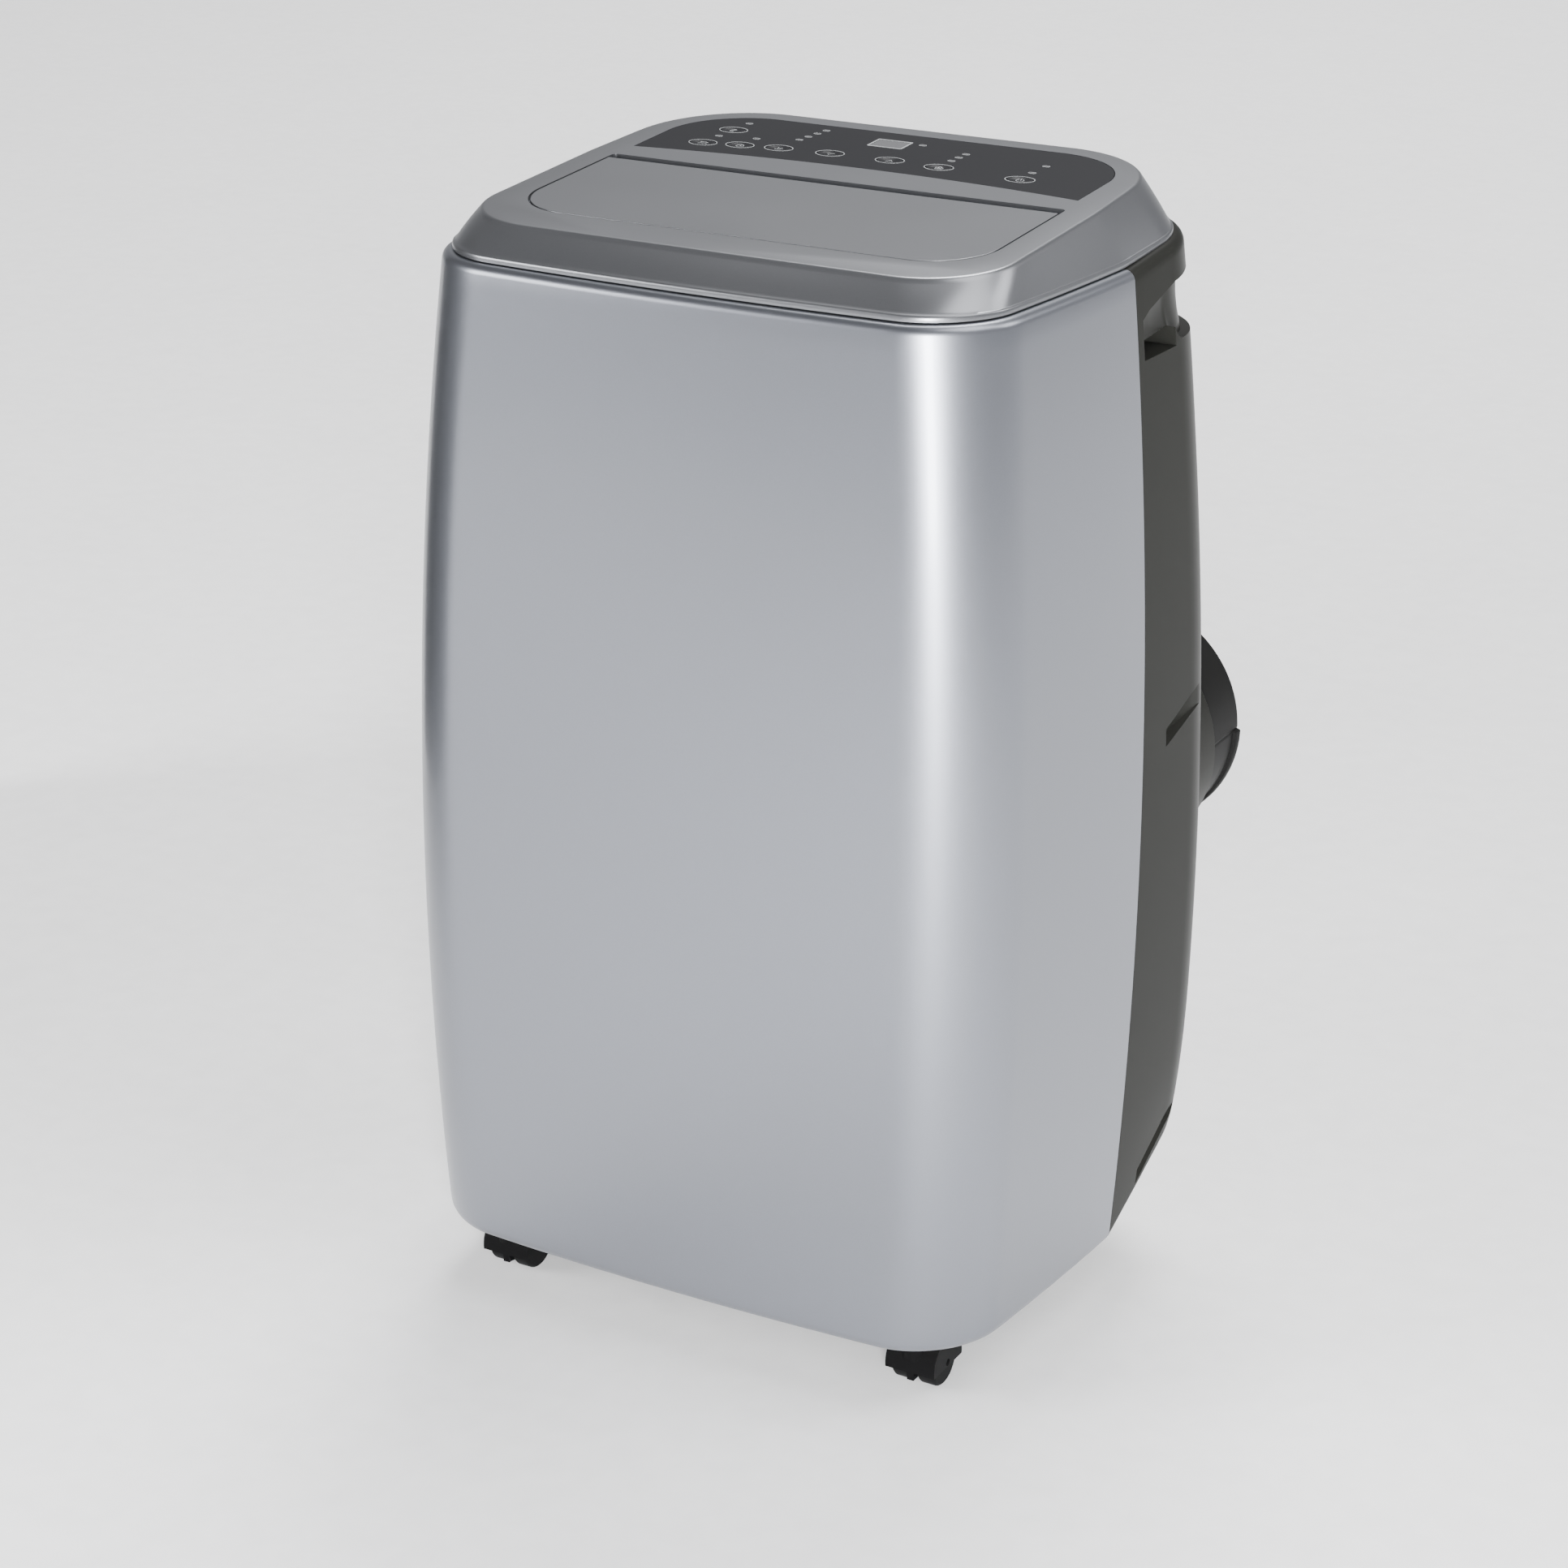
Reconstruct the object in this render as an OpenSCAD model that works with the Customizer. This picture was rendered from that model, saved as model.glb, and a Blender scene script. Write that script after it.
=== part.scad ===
// Portable air conditioner: tall rounded cabinet on castors, outlet flap and controls on top,
// exhaust hose adapter and intake grilles at the back. Millimetres, +Z up, front towards -Y.

/* [Cabinet] */
// Greatest width of the cabinet
body_w = 470; // [440:1:560]
// Greatest depth of the cabinet
body_d = 370; // [350:1:440]
// Height of the rear edge of the top, castors included
body_h = 764; // [740:1:900]
// Wall of the moulded shells
wall = 2.5; // [2:0.1:3.5]
// Gap between neighbouring shells
shell_gap = 0.6; // [0.4:0.1:1]
// Height of the cabinet's lower edge above the floor
foot_z = 45; // [42:1:55]
// How far the sides curve in between the widest point and the shoulder
side_bow = 21.5; // [10:0.5:30]
// How far the front curves in between its fullest point and the shoulder
front_bow = 16.5; // [8:0.5:24]
// How far the back leans in at the shoulder
back_lean = 27; // [15:0.5:35]
// Radius of the two front corners
front_r = 58; // [45:1:80]
// Radius of the two rear corners
rear_r = 74; // [55:1:85]
// Distance of the seam between the shells behind the cabinet's middle
seam_y = 31; // [20:1:45]

/* [Top] */
// Height from the shoulder to the rear edge of the top
cap_h = 42; // [38:1:55]
// Slope of the top towards the front, in degrees
top_tilt = 3.9; // [2:0.1:5]
// Thickness of the top plate
top_t = 3; // [2.5:0.1:4]
// Width of the outlet flap
flap_w = 326; // [280:1:330]
// Length of the outlet flap from hinge edge to front edge
flap_l = 124; // [100:1:128]
// Thickness of the outlet flap
flap_t = 3.5; // [3:0.1:4.5]
// Gap round the flap
flap_gap = 0.9; // [0.6:0.1:1.5]
// Width of the groove behind the flap
flap_groove = 9; // [9:0.5:12]
// Width of the control fascia
fascia_w = 324; // [290:1:330]
// Thickness of the control fascia
fascia_t = 1.6; // [1.2:0.1:2.2]
// Length of a push button
button_l = 18; // [14:0.5:20]
// Width of a push button
button_b = 11.4; // [9:0.2:13]
// Travel of a push button
button_travel = 0.8; // [0.5:0.1:1.2]
// Gap round a push button
button_gap = 0.35; // [0.3:0.05:0.5]

/* [Outlet] */
// Number of upright vanes in the outlet
vane_n = 6; // [6:1:6]
// Distance between two vanes
vane_pitch = 44; // [36:1:48]
// Diameter of a vane's pivot pin
vane_pin_d = 3; // [2.5:0.1:4]
// Radial clearance of the pivot pins
pin_fit = 0.05; // [0.03:0.01:0.09]

/* [Exhaust] */
// Outside diameter of the exhaust hose adapter
adapter_d = 164; // [150:1:170]
// How far the adapter stands behind the cabinet
adapter_out = 55; // [40:1:80]
// Sideways place of the exhaust
exhaust_x = 131; // [110:1:134]
// Height of the exhaust's axis
exhaust_z = 353; // [345:1:360]
// Wall of the adapter
adapter_wall = 2.4; // [2:0.1:3]

/* [Castors] */
// Diameter of a castor wheel
wheel_d = 34; // [30:1:36]
// Width of one of the two discs of a castor wheel
wheel_w = 13; // [10:0.5:15]
// Diameter of the castor's upright stem
stem_d = 10; // [8:0.5:12]
// Distance from the stem's axis to the wheel's axis
castor_trail = 12; // [8:1:14]
// Sideways place of the castors
castor_x = 159; // [140:1:165]
// Place of the front castors before the cabinet's middle
castor_front_y = 134; // [120:1:138]
// Place of the rear castors behind the cabinet's middle
castor_rear_y = 88; // [80:1:96]

/* [Inside] */
// Diameter of the compressor
compressor_d = 126; // [110:1:132]
// Height of the compressor
compressor_h = 230; // [200:1:250]
// Diameter of the upper fan wheel
upper_fan_d = 176; // [150:1:190]
// Diameter of the lower fan wheel
lower_fan_d = 146; // [130:1:156]
// Diameter of the motor shafts
shaft_d = 8; // [6:0.5:10]
// Thickness of a heat exchanger
coil_t = 25; // [20:1:28]

/* [Hidden] */

silver = "#A6A8AD";
satin = "#8F8F92";
charcoal = "#42423E";
fascia_black = "#3E3F43";
rubber_black = "#161616";
inner_black = "#222324";
copper = "#B5693C";
fin_grey = "#B9BDC2";

// Overall box: the adapter stands out behind, so everything is moved to centre the box.
adapter_end_y = body_d / 2 + adapter_out;
centre_shift = -adapter_out / 2;

// Shoulder, where the shells end and the top cover begins
shoulder_z = body_h - cap_h;
seam_gap = shell_gap;
wide_z = shoulder_z * 0.45;      // height where the sides are widest
full_z = shoulder_z * 0.385;     // height where the front is fullest
low_z = foot_z + 5;              // height where the back is fullest
side_k = side_bow / pow(shoulder_z - wide_z, 2);
front_k = front_bow / pow(shoulder_z - full_z, 2);
back_k = back_lean / pow(shoulder_z - low_z, 2);
front_taper = 0.089;             // share by which the sides draw in towards the front
front_crown = 0.047;             // share by which the front falls back at its corners
taper_y = body_d / 2 - 35;       // the sides draw in from here forward

// Rear edge of the shells: it climbs a little at the shoulder and a lot at the foot
rim_climb = 0.08;
foot_climb = 0.59;
foot_climb_max = 55;
climb_blend_top = 130;
climb_blend_foot = 160;

// Top plane
top_slope = tan(top_tilt);
top_rear_y = body_d / 2 - 23;
top_front_y = -(body_d / 2 - 48);
top_half_w = body_w / 2 - 51;
top_front_r = 55;
top_rear_r = 76;
top_mid_z = body_h - top_slope * top_rear_y;
lip_inset = 6.2;                 // the cover's lip stands inside the shells' outer face
lip_h = 3.4;
edge_r = 2;

// Flap, hinged near its rear edge
flap_rear_y = 20;
flap_front_y = flap_rear_y - flap_l;
flap_corner_r = 42;
hinge_y = flap_rear_y - 7;
hinge_z = -7.5;                  // below the top plane
hinge_pin_d = 5;
hinge_pin_l = 7;
hinge_x = flap_w / 2 - 14;       // outer face of the flap's hinge arms
arm_t = 4;
flange_b = 6;                    // the outlet frame's flange reaches this far under the cover
motor_x = flap_w / 2 + flap_gap + flange_b + 1;
drive_pin_l = motor_x + 8 - hinge_x + arm_t / 2;    // the right-hand pin reaches into the flap motor
throat_half_w = flap_w / 2 - 19;
throat_rear_y = hinge_y - 13.5;
trough_r = 11;                   // room for the flap's rear edge as it swings down
trough_t = 1.6;
throat_front_y = flap_front_y + 18;
frame_seat_z = -flap_t - 0.7;    // the flap rests just above this ledge
frame_t = 3;
throat_bottom_z = shoulder_z - 20;
frame_clear = 0.4;

// Upright vanes: pins in two cross bars of the throat
vane_y = throat_front_y + 47;
vane_top = -21;
vane_h = 18;
vane_l = 30;
vane_t = 2;
bar_b = 6;
bar_t = 2.5;
link_pin_y = 11;
link_t = 2;
link_b = 5;

// Controls: place of each button on the top plane, and its lamp
button_place = [["power", 108, 79], ["speed", 47.5, 84], ["up", 10.5, 86.5], ["down", -33.5, 86],
    ["mode", -71, 84], ["timer", -98.5, 80.5], ["swing", -124.5, 76.5], ["sleep", -121.5, 112]];
function place_of(name) = [for (b = button_place) if (b[0] == name) [b[1], b[2]]][0];
mode_lamps = [for (i = [0:3]) [-68.5 + 1.8 * i, 107.5 + 9.2 * i]];
speed_lamps = [for (i = [0:2]) [48 + 0.8 * i, 101 + 9 * i]];
single_lamps = [[-120, 130.5], [-123, 95], [-96, 98.5], [13.5, 127.5], [108.5, 96], [110, 113.5]];
lamp_places = concat(mode_lamps, speed_lamps, single_lamps);
lamp_l = 4;
lamp_b = 1.8;
display_x = -8;
display_y = 122;
display_l = 23;
display_b = 15;
fascia_front_y = 50;
fascia_crown = 12;
fascia_rear_y = top_rear_y - 15;
fascia_corner_r = 52;
board_z = -17;
board_t = 1.6;
stem_gap = 0.6;                  // height of a switch on the board

// Castors
axle_d = 5;
axle_z = wheel_d / 2;
hood_clear = 1.3;
hood_t = 2;
fork_room = 4.7;                 // between the wheel hoods and the base pan
pan_z = max(foot_z - 3, wheel_d + hood_clear + hood_t + fork_room);     // underside of the base pan
pan_t = 4;
pan_clear = 2.4;                 // between the pan and the rolled-in foot of the shells
mount_h = 16;                    // height of the compressor's rubber feet
pan_rear_y = castor_rear_y + 34;
fork_top_z = pan_z - 0.8;
stem_socket_h = pan_t + mount_h - 2;

// Inside
deck_z = 436;                    // underside of the middle tray
deck_t = 6;
upper_fan_z = deck_z + 124;
upper_fan_y = [-30, 70];
upper_scroll_r = upper_fan_d / 2 + 25;
upper_wheel_y = [-14, 58];
lower_fan_x = 110;
lower_fan_z = 215;
lower_fan_y = [10, 100];
lower_scroll_r = lower_fan_d / 2 + 20;
lower_wheel_y = [26, 86];
shaft_fit = 0.05;
duct_r = 70;
neck_x = [exhaust_x - duct_r - 3, exhaust_x + duct_r + 3];
neck_top_z = exhaust_z + duct_r + 6;
compressor_x = -100;
compressor_y = 35;
coil_y = 128;
upper_window = [[-150, 150], [462, 640]];
socket_r = adapter_d / 2 + 7;
socket_rib = 14;                 // the back wall between the lower window and the exhaust socket
lower_window = [[-155, exhaust_x - socket_r - socket_rib], [140, 398]];
grille_gap = 0.8;
grille_t = 3;
slat_pitch = 9;
slat_b = 3.6;
drain_upper = [-172, 424];
drain_lower = [-60, pan_z + 17];
drain_r = 9;
cap_r = drain_r + 2.6;
cap_l = 15;
drain_lower_end = pan_rear_y + 32;
gland_place = [-178, 118];
gland_r = 8;
float_place = [40, -70];
float_post_r = 3.6;
spigot_r = adapter_d / 2 - 6;
spigot_fit = 0.06;
socket_depth = 36;
socket_proud = 3;                // the socket ring stands out behind the back

// ---------- outlines ----------

function half_w(z) = body_w / 2 - side_k * pow(z - wide_z, 2);
function front_y(z) = -(body_d / 2 - front_k * pow(z - full_z, 2));
function rear_y(z) = body_d / 2 - back_k * pow(z - low_z, 2);
function arc(cx, cy, r, a0, a1, n) =
    [for (i = [0:n]) let (a = a0 + (a1 - a0) * i / n) [cx + r * cos(a), cy + r * sin(a)]];

// The sides draw in towards the front and the front falls back at its corners.
function drawn_in(p, hw, yf) =
    let (k = p[1] < taper_y ? front_taper * pow((taper_y - p[1]) / (taper_y - yf), 2) : 0,
        b = p[1] < 0 ? front_crown * pow(p[0] / hw, 2) : 0)
    [p[0] * (1 - k), p[1] * (1 - b)];

// Right half of a plan outline, from the middle of the front to y = ys on the side.
function front_half(hw, yf, rf, ys) = concat(
    [for (i = [0:2]) [(hw - rf) * i / 3, yf]],
    arc(hw - rf, yf + rf, rf, -90, 0, 9),
    [for (i = [1:4]) [hw, yf + rf + (ys - yf - rf) * i / 4]]);
// Right half of a plan outline, from y = ys on the side to the middle of the back.
function rear_half(hw, yr, rr, ys) = concat(
    [for (i = [0:2]) [hw, ys + (yr - rr - ys) * i / 3]],
    arc(hw - rr, yr - rr, rr, 0, 90, 9),
    [for (i = [1:3]) [(hw - rr) * (1 - i / 3), yr]]);
function warp(points, hw, yf) = [for (p = points) drawn_in(p, hw, yf)];
function mirrored(half) = [for (i = [len(half) - 1:-1:0]) [-half[i][0], half[i][1]]];
function at_z(points, z) = [for (p = points) [p[0], p[1], z]];

// Cabinet outline pieces at height z, moved in by d
function shell_front(z, d) =
    let (hw = half_w(z) - d, yf = front_y(z) + d,
        half = warp(front_half(hw, yf, front_r - d, seam_y - seam_gap / 2), hw, yf))
    concat(mirrored([for (i = [1:len(half) - 1]) half[i]]), half);
function shell_rear(z, d) =
    let (hw = half_w(z) - d, yf = front_y(z) + d,
        half = warp(rear_half(hw, rear_y(z) - d, rear_r - d, seam_y + seam_gap / 2), hw, yf))
    concat(half, mirrored([for (i = [0:len(half) - 2]) half[i]]));
function cabinet_ring(z, d) =
    let (hw = half_w(z) - d, yf = front_y(z) + d,
        half = warp(concat(front_half(hw, yf, front_r - d, seam_y),
            [for (i = [1:15]) rear_half(hw, rear_y(z) - d, rear_r - d, seam_y)[i]]), hw, yf))
    closed_ring(half);
function closed_ring(half) =
    concat(half, [for (i = [len(half) - 2:-1:1]) [-half[i][0], half[i][1]]]);
function top_ring(d) =
    let (hw = top_half_w - d)
    closed_ring(concat(front_half(hw, top_front_y + d, top_front_r - d, seam_y),
        [for (i = [1:15]) rear_half(hw - 3, top_rear_y - d, top_rear_r - d, seam_y)[i]]));

// Levels of a shell: height and how far the outline is drawn in, with rounded ends
foot_round = 9;
shoulder_round = 6;
shell_levels = concat(
    [for (i = [0:4]) let (a = 90 * i / 4) [foot_z + foot_round * (1 - cos(a)), foot_round * (1 - sin(a))]],
    [for (i = [1:8]) [foot_z + foot_round + (shoulder_z - shoulder_round - foot_z - foot_round) * i / 9,
        0]],
    [for (i = [0:4]) let (a = 90 * i / 4)
        [shoulder_z - shoulder_round * (1 - sin(a)), shoulder_round * (1 - cos(a))]]);

// Climb of the shells' edges behind the seam
function behind(y) = max(0, y - seam_y);
function climb(y, z) =
    rim_climb * behind(y) * max(0, (z - shoulder_z + climb_blend_top) / climb_blend_top)
    + min(foot_climb * behind(y), foot_climb_max)
        * pow(max(0, (foot_z + climb_blend_foot - z) / climb_blend_foot), 1.5);
function climbed(points) = [for (p = points) [p[0], p[1], p[2] + climb(p[1], p[2])]];
function rim_z(y) = shoulder_z + rim_climb * behind(y);

// ---------- lofts ----------

function quad(a, b, c, d) = [[a, b, c], [a, c, d]];
function flat(lists) = [for (l = lists) for (v = l) v];

// A wall between outer rows and inner rows of points; open at its two ends unless closed.
module sleeve(outer, inner, closed = false) {
    rows = concat(outer, [for (i = [len(inner) - 1:-1:0]) inner[i]]);
    r = len(rows);
    n = len(rows[0]);
    last = closed ? n - 1 : n - 2;
    skin = [for (j = [0:r - 1]) for (i = [0:last])
        let (k = (j + 1) % r, m = (i + 1) % n)
        quad(j * n + i, k * n + i, k * n + m, j * n + m)];
    ends = closed ? [] : [for (j = [0:r / 2 - 2]) let (k = r - 1 - j)
        concat(quad(j * n + n - 1, (j + 1) * n + n - 1, (k - 1) * n + n - 1, k * n + n - 1),
            quad(k * n, (k - 1) * n, (j + 1) * n, j * n))];
    polyhedron(flat(rows), flat(concat(skin, ends)));
}

// A closed solid through rings of points, with a flat face at each end.
module loft(rings) {
    r = len(rings);
    n = len(rings[0]);
    skin = [for (j = [0:r - 2]) for (i = [0:n - 1]) let (m = (i + 1) % n)
        quad(j * n + i, (j + 1) * n + i, (j + 1) * n + m, j * n + m)];
    caps = concat([for (i = [1:n - 2]) [0, i, i + 1]],
        [for (i = [1:n - 2]) [(r - 1) * n, (r - 1) * n + i + 1, (r - 1) * n + i]]);
    polyhedron(flat(rings), concat(flat(skin), caps));
}

module centred() translate([0, centre_shift, 0]) children();
// Frame of the sloped top plane: x and y as in the cabinet, z along the plane's normal
module on_top() translate([0, 0, top_mid_z]) rotate([top_tilt, 0, 0]) children();
// Cylinder whose axis points to the back
module rod_y(r, y0, y1) translate([0, y0, 0]) rotate([-90, 0, 0]) cylinder(r = r, h = y1 - y0, $fn = 48);
module rod_x(r, x0, x1) translate([x0, 0, 0]) rotate([0, 90, 0]) cylinder(r = r, h = x1 - x0, $fn = 48);
module tube_y(r, t, y0, y1) difference() {
    rod_y(r, y0, y1);
    rod_y(r - t, y0 - 1, y1 + 1);
}
module block(x, y, z) translate([x[0], y[0], z[0]]) cube([x[1] - x[0], y[1] - y[0], z[1] - z[0]]);
// Flat plate standing across Y, drawn in x and z
module upright(y0, y1) translate([0, y1, 0]) rotate([90, 0, 0]) linear_extrude(y1 - y0) children();

// ---------- cabinet shells ----------

module front_shell() color(silver) centred() sleeve(
    [for (l = shell_levels) at_z(shell_front(l[0], l[1]), l[0])],
    [for (l = shell_levels) at_z(shell_front(l[0], l[1] + wall), l[0])]);

// Carrying handle: a scoop round the rear corner, with a finger pocket at its foot
handle_y = [42, 104];
handle_z = [664, 676];
handle_depth = 34;
pocket_r = 2;
scoop_depth = 8;
scoop_h = [14, 20, 33];          // height of the scoop at its front end, at the corner, at the back
scoop_end_x = 138;
liner_t = scoop_depth + wall;
module handle_block() hull()
    block([half_w(handle_z[1]) - handle_depth - wall, half_w(handle_z[1]) - 3],
        [handle_y[0] - wall, handle_y[1] + pocket_r + wall], [handle_z[0] - wall, handle_z[1] + 3]);
module handle_pocket() hull()
    for (z = [handle_z[0] + pocket_r, handle_z[1] - 1], y = [handle_y[0] + pocket_r,
        handle_y[1] - pocket_r])
        translate([half_w(handle_z[1]) - handle_depth, y, z]) rotate([0, 90, 0])
            cylinder(r = pocket_r, h = 60, $fn = 16);
// One station of the scoop: its foot slants outwards and down
module scoop_station(x, y, h) {
    block([x, body_w], [y, y + 1], [handle_z[1], handle_z[1] + h]);
    block([x + scoop_depth, body_w], [y, y + 1], [handle_z[0] - 1, handle_z[1]]);
}
module handle_scoop() difference() {
    union() {
        hull() {
            scoop_station(half_w(690) - 1.5, handle_y[0], scoop_h[0]);
            scoop_station(half_w(690) - scoop_depth - 4, handle_y[1], scoop_h[1]);
        }
        hull() {
            scoop_station(half_w(690) - scoop_depth - 4, handle_y[1], scoop_h[1]);
            block([scoop_end_x, body_w], [rear_y(690) - 30, body_d], [handle_z[1], handle_z[1] +
                scoop_h[2]]);
            block([scoop_end_x + 8, body_w], [rear_y(690) - 20, body_d], [handle_z[0] - 1, handle_z[1]]);
        }
    }
    loft([for (l = shell_levels) if (l[0] > body_h / 2) climbed(at_z(cabinet_ring(l[0], l[1] +
        scoop_depth), l[0]))]);
}
// Finger notches that free the grilles: the upper edge climbs towards the back
notch_depth = 8;
notch_l = 50;
notches = [[401, 68, 12, 14], [75, 69, 11, 31]];     // height, start, opening, climb
module side_notch(n) hull() {
    block([half_w(n[0]) - notch_depth, body_w], [n[1], n[1] + 1], [n[0], n[0] + n[2]]);
    block([half_w(n[0]) - notch_depth / 2, body_w], [n[1] + notch_l - 1, n[1] + notch_l],
        [n[0] + n[3], n[0] + n[2] + n[3]]);
}
module notch_zone(n) block([body_w / 4, body_w], [n[1] - wall, n[1] + notch_l + wall],
    [n[0] - wall, n[0] + n[2] + n[3] + wall]);
module both_sides() for (s = [0, 1]) mirror([s, 0, 0]) children();
screw_places = [for (s = [-1, 1]) for (z = [152, 470, 716]) [s * 176, z]];
screw_head_r = 3.6;

module rear_wall(t) sleeve([for (l = shell_levels) climbed(at_z(shell_rear(l[0], l[1]), l[0]))],
    [for (l = shell_levels) climbed(at_z(shell_rear(l[0], l[1] + t), l[0]))]);
module rear_shell() color(charcoal) centred() difference() {
    union() {
        rear_wall(wall);
        intersection() {
            rear_wall(liner_t);
            both_sides() {
                block([scoop_end_x - wall, body_w], [handle_y[0] - wall, body_d],
                    [handle_z[0] - 1 - wall, handle_z[1] + scoop_h[2] + wall]);
                for (n = notches) notch_zone(n);
            }
        }
        both_sides() handle_block();
    }
    both_sides() {
        handle_pocket();
        handle_scoop();
        for (n = notches) side_notch(n);
    }
    for (w = [upper_window, lower_window]) block(w[0], [coil_y, body_d], w[1]);
    translate([exhaust_x, 0, exhaust_z]) rod_y(socket_r + shell_gap, coil_y, body_d);
    translate([drain_upper[0], 0, drain_upper[1]]) rod_y(cap_r + shell_gap, coil_y + 10, body_d);
    translate([gland_place[0], 0, gland_place[1]]) rod_y(gland_r + 2, coil_y - 40, body_d);
    for (p = screw_places) translate([p[0], 0, p[1]]) {
        rod_y(1.9, coil_y - 60, body_d);
        rod_y(screw_head_r + 0.4, wall_at(p) - 1.4, body_d);
    }
}
// How far back the rounded rear wall lies at a place given by its x and z
function wall_at(p) = let (c = half_w(p[1]) - rear_r, u = max(0, abs(p[0]) - c))
    rear_y(p[1]) - rear_r + sqrt(rear_r * rear_r - u * u);

// ---------- top cover and controls ----------

module flap_outline(d) union() {
    translate([-flap_w / 2 - d, flap_front_y + flap_corner_r])
        square([flap_w + 2 * d, flap_l - flap_corner_r + d]);
    translate([-flap_w / 2 + flap_corner_r, flap_front_y - d])
        square([flap_w - 2 * flap_corner_r, flap_corner_r + 1]);
    for (s = [-1, 1]) translate([s * (flap_w / 2 - flap_corner_r), flap_front_y + flap_corner_r])
        circle(r = flap_corner_r + d, $fn = 64);
}
function fascia_front(x) = fascia_front_y + fascia_crown * (1 - pow(2 * x / fascia_w, 2));
module fascia_outline(d) polygon(concat(
    [for (i = [-12:12]) let (x = i / 12 * (fascia_w / 2 + d)) [x, fascia_front(x * 0.99) - d]],
    [for (i = [0:8]) let (a = 90 * i / 8)
        [fascia_w / 2 - fascia_corner_r - 4 + (fascia_corner_r + 4) * cos(a) + d * cos(a),
         fascia_rear_y - fascia_corner_r + fascia_corner_r * sin(a) + d * sin(a)]],
    [for (i = [8:-1:0]) let (a = 90 * i / 8)
        [-(fascia_w / 2 - fascia_corner_r - 4 + (fascia_corner_r + 4) * cos(a)) - d * cos(a),
         fascia_rear_y - fascia_corner_r + fascia_corner_r * sin(a) + d * sin(a)]]));
function oval(l, b, n = 32) = [for (i = [0:n - 1]) [l / 2 * cos(360 * i / n), b / 2 * sin(360 * i / n)]];

fascia_seat = fascia_t + 0.2;
module top_cover() color(satin) centred() difference() {
    loft(concat(
        [for (l = [[0.6, lip_inset + 0.3], [lip_h, lip_inset], [lip_h + 1.6, lip_inset + 2]])
            [for (p = cabinet_ring(shoulder_z, l[1])) [p[0], p[1], rim_z(p[1]) + l[0]]]],
        [for (l = [[edge_r + 0.4, -1], [0.6, 0], [0, edge_r]])
            [for (p = top_ring(l[1])) [p[0], p[1], top_mid_z + top_slope * p[1] - l[0]]]]));
    loft(concat(
        [[for (p = cabinet_ring(shoulder_z, lip_inset + wall + 0.3)) [p[0], p[1], rim_z(p[1]) - 1]]],
        [[for (p = cabinet_ring(shoulder_z, lip_inset + wall + 2)) [p[0], p[1], rim_z(p[1]) + lip_h]]],
        [[for (p = top_ring(wall)) [p[0], p[1], top_mid_z + top_slope * p[1] - top_t - 2]]],
        [[for (p = top_ring(wall + 3)) [p[0], p[1], top_mid_z + top_slope * p[1] - top_t]]]));
    on_top() {
        translate([0, 0, -30]) linear_extrude(40) offset_recess(0);
        translate([0, 0, -fascia_seat]) linear_extrude(10) fascia_outline(0.3);
        for (b = button_place) translate([b[1], b[2], -20]) linear_extrude(30)
            polygon(oval(button_l + 2 * button_gap, button_b + 2 * button_gap));
        for (p = lamp_places) translate([p[0], p[1], -20]) cylinder(r = 1.6, h = 30, $fn = 16);
        translate([display_x, display_y, -20]) linear_extrude(40)
            square([display_l - 3, display_b - 3], center = true);
    }
}

module control_fascia() color(fascia_black) centred() on_top() translate([0, 0, -fascia_t])
    linear_extrude(fascia_t) difference() {
        fascia_outline(0);
        for (b = button_place) translate([b[1], b[2]])
            polygon(oval(button_l + 2 * button_gap, button_b + 2 * button_gap));
        for (p = lamp_places) translate(p) square([lamp_l, lamp_b], center = true);
        translate([display_x, display_y]) square([display_l, display_b], center = true);
    }

module display_window() color("#9A9CA0") centred() on_top()
    translate([display_x, display_y, -fascia_t]) {
        linear_extrude(fascia_t - 0.1) square([display_l - 0.2, display_b - 0.2], center = true);
        translate([0, 0, -8]) linear_extrude(8.2) square([display_l - 4, display_b - 4], center = true);
    }

module indicator_lights() color("#D8D8D2") centred() on_top() for (p = lamp_places)
    translate([p[0], p[1], -fascia_t]) {
        linear_extrude(fascia_t - 0.1) square([lamp_l - 0.2, lamp_b - 0.2], center = true);
        translate([0, 0, board_z + board_t + fascia_t + 0.3])
            cylinder(r = lamp_b / 2 - 0.15, h = -board_z - board_t - fascia_t - 0.2, $fn = 20);
    }

module control_board() color("#2E5B3A") centred() on_top() {
    translate([-fascia_w / 2 + 18, fascia_front_y + 16, board_z])
        cube([fascia_w - 36, fascia_rear_y - fascia_front_y - 22, board_t]);
    for (b = button_place) translate([b[1], b[2], board_z + board_t])
        cylinder(r = 3, h = stem_gap, $fn = 24);
}

// A push button: dished oval cap, collar under the fascia and a stem down to its switch
module push_button(name) let (p = place_of(name)) centred() on_top() translate([p[0], p[1], 0]) {
    difference() {
        translate([0, 0, -fascia_t - 0.1]) linear_extrude(fascia_t + 0.1) polygon(oval(button_l, button_b));
        translate([0, 0, 39.6]) sphere(r = 40.4, $fn = 96);
    }
    translate([0, 0, board_z + board_t + stem_gap + button_travel + 0.3])
        cylinder(r = 2.6, h = -board_z - board_t - stem_gap - button_travel - 0.3 - fascia_t, $fn = 24);
}
module button_power() color(fascia_black) push_button("power");
module button_speed() color(fascia_black) push_button("speed");
module button_up() color(fascia_black) push_button("up");
module button_down() color(fascia_black) push_button("down");
module button_mode() color(fascia_black) push_button("mode");
module button_timer() color(fascia_black) push_button("timer");
module button_swing() color(fascia_black) push_button("swing");
module button_sleep() color(fascia_black) push_button("sleep");

// ---------- outlet ----------

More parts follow.
